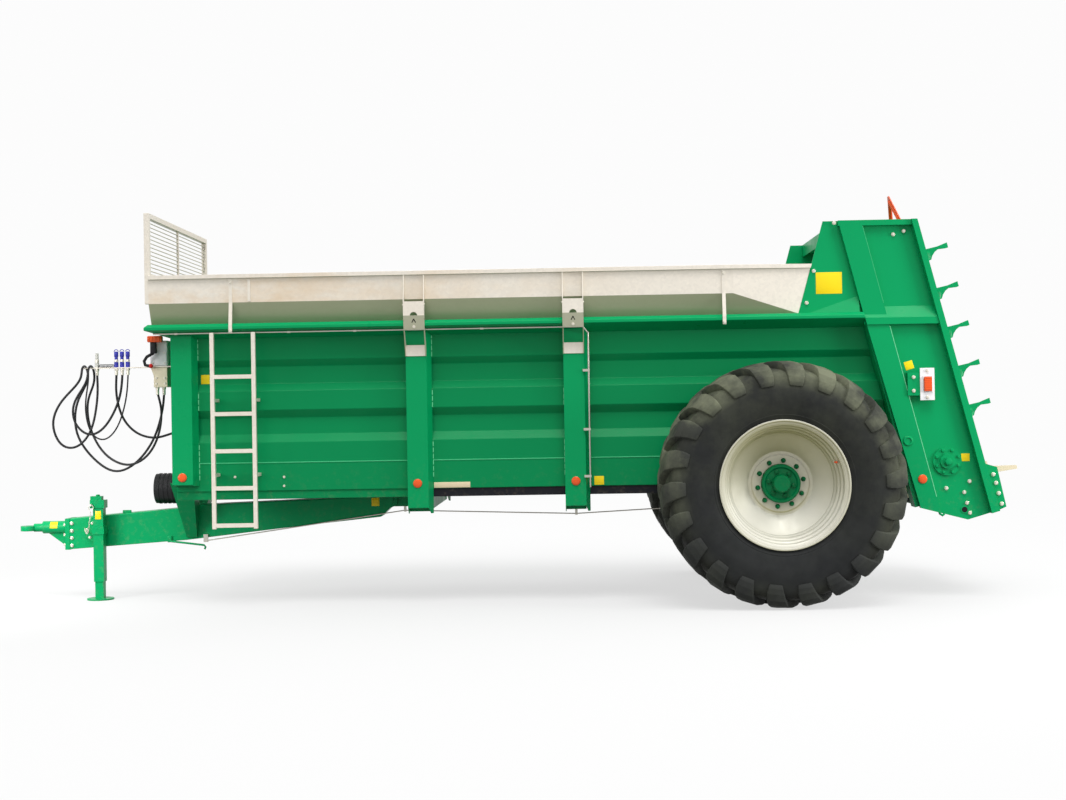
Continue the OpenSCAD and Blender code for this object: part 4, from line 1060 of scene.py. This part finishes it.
def seen_rays(tree):
    """1 for rays that show a thing by itself, in a mirror or through glass, and 0 for soft light."""
    rays = tree.nodes.new("ShaderNodeLightPath").outputs
    value = rays["Is Camera Ray"]
    for name in ("Is Glossy Ray", "Is Transmission Ray"):
        either = tree.nodes.new("ShaderNodeMath")
        either.operation = "MAXIMUM"
        tree.links.new(value, either.inputs[0])
        tree.links.new(rays[name], either.inputs[1])
        value = either.outputs["Value"]
    return value


def mix_shaders(tree, share, one, other):
    node = tree.nodes.new("ShaderNodeMixShader")
    tree.links.new(share, node.inputs[0])
    tree.links.new(one, node.inputs[1])
    tree.links.new(other, node.inputs[2])
    return node.outputs["Shader"]


def glow(tree, strength):
    node = tree.nodes.new("ShaderNodeEmission")
    node.inputs["Strength"].default_value = strength
    return node.outputs["Emission"]


def matt(tree, grey):
    node = tree.nodes.new("ShaderNodeBsdfDiffuse")
    node.inputs["Color"].default_value = (grey, grey, grey, 1)
    return node.outputs["BSDF"]


def make_floor():
    mesh = bmesh.new()
    bmesh.ops.create_grid(mesh, x_segments=1, y_segments=1, size=90)
    data = bpy.data.meshes.new("floor_sheet")
    mesh.to_mesh(data)
    mesh.free()
    sheet = bpy.data.objects.new("floor_sheet", data)
    scene.collection.objects.link(sheet)
    s = Surface("floor", 0.95)
    tree = s.tree
    distance = tree.nodes.new("ShaderNodeVectorMath")
    distance.operation = "LENGTH"
    tree.links.new(s.place, distance.inputs[0])
    fade = s.remap(distance.outputs["Value"], NEAR, FAR, 0.0, 1.0)
    shaded = tree.nodes.new("ShaderNodeAddShader")
    tree.links.new(matt(tree, FLOOR_SHADED), shaded.inputs[0])
    tree.links.new(glow(tree, FLOOR_GLOW), shaded.inputs[1])
    white = mix_shaders(tree, fade, shaded.outputs["Shader"], glow(tree, WHITE))
    surface = mix_shaders(tree, seen_rays(tree), matt(tree, FLOOR_GREY), white)
    tree.links.new(surface, tree.nodes["Material Output"].inputs["Surface"])
    data.materials.append(s.material)


def make_world():
    world = bpy.data.worlds.new("studio")
    world.use_nodes = True
    tree = world.node_tree
    split = tree.nodes.new("ShaderNodeSeparateXYZ")
    tree.links.new(tree.nodes.new("ShaderNodeTexCoord").outputs["Generated"], split.inputs["Vector"])
    ramp = tree.nodes.new("ShaderNodeMapRange")
    ramp.inputs["From Min"].default_value = 0.0
    ramp.inputs["From Max"].default_value = 0.8
    ramp.inputs["To Min"].default_value = LEVEL_LIGHT
    ramp.inputs["To Max"].default_value = TOP_LIGHT
    tree.links.new(split.outputs["Z"], ramp.inputs["Value"])
    soft = tree.nodes["Background"]
    tree.links.new(ramp.outputs["Result"], soft.inputs["Strength"])
    soft.inputs["Color"].default_value = (1, 1, 1, 1)
    seen = tree.nodes.new("ShaderNodeBackground")
    seen.inputs["Color"].default_value = (1, 1, 1, 1)
    seen.inputs["Strength"].default_value = WHITE
    surface = mix_shaders(tree, seen_rays(tree), soft.outputs["Background"], seen.outputs["Background"])
    tree.links.new(surface, tree.nodes["World Output"].inputs["Surface"])
    scene.world = world
    scene.view_settings.view_transform = "Standard"


def make_sun(name, toward, spread, strength):
    """Even light that comes from a direction."""
    data = bpy.data.lights.new(name, "SUN")
    data.angle = math.radians(spread)
    data.energy = strength
    lamp = bpy.data.objects.new(name, data)
    lamp.matrix_world = Vector(toward).to_track_quat("Z", "Y").to_matrix().to_4x4()
    scene.collection.objects.link(lamp)


def make_soft_box(name, place, target, power, spread):
    """Square lamp that faces a target."""
    data = bpy.data.lights.new(name, "AREA")
    data.size = BOX_WIDTH
    data.spread = math.radians(spread)
    data.energy = power
    lamp = bpy.data.objects.new(name, data)
    lamp.matrix_world = spot_of(place, Vector(place) - Vector(target))
    lamp.visible_camera = False
    scene.collection.objects.link(lamp)


make_floor()
make_world()
make_sun("key", (-0.05, 0.48, 0.87), 30, 1.6)
make_soft_box("front_box", (5.4, 3.0, 1.9), (3.6, 0.1, 0.35), 18, 56)
make_soft_box("rear_box", (-8.0, 3.6, 2.6), (-3.0, 0.9, 1.6), 120, 140)
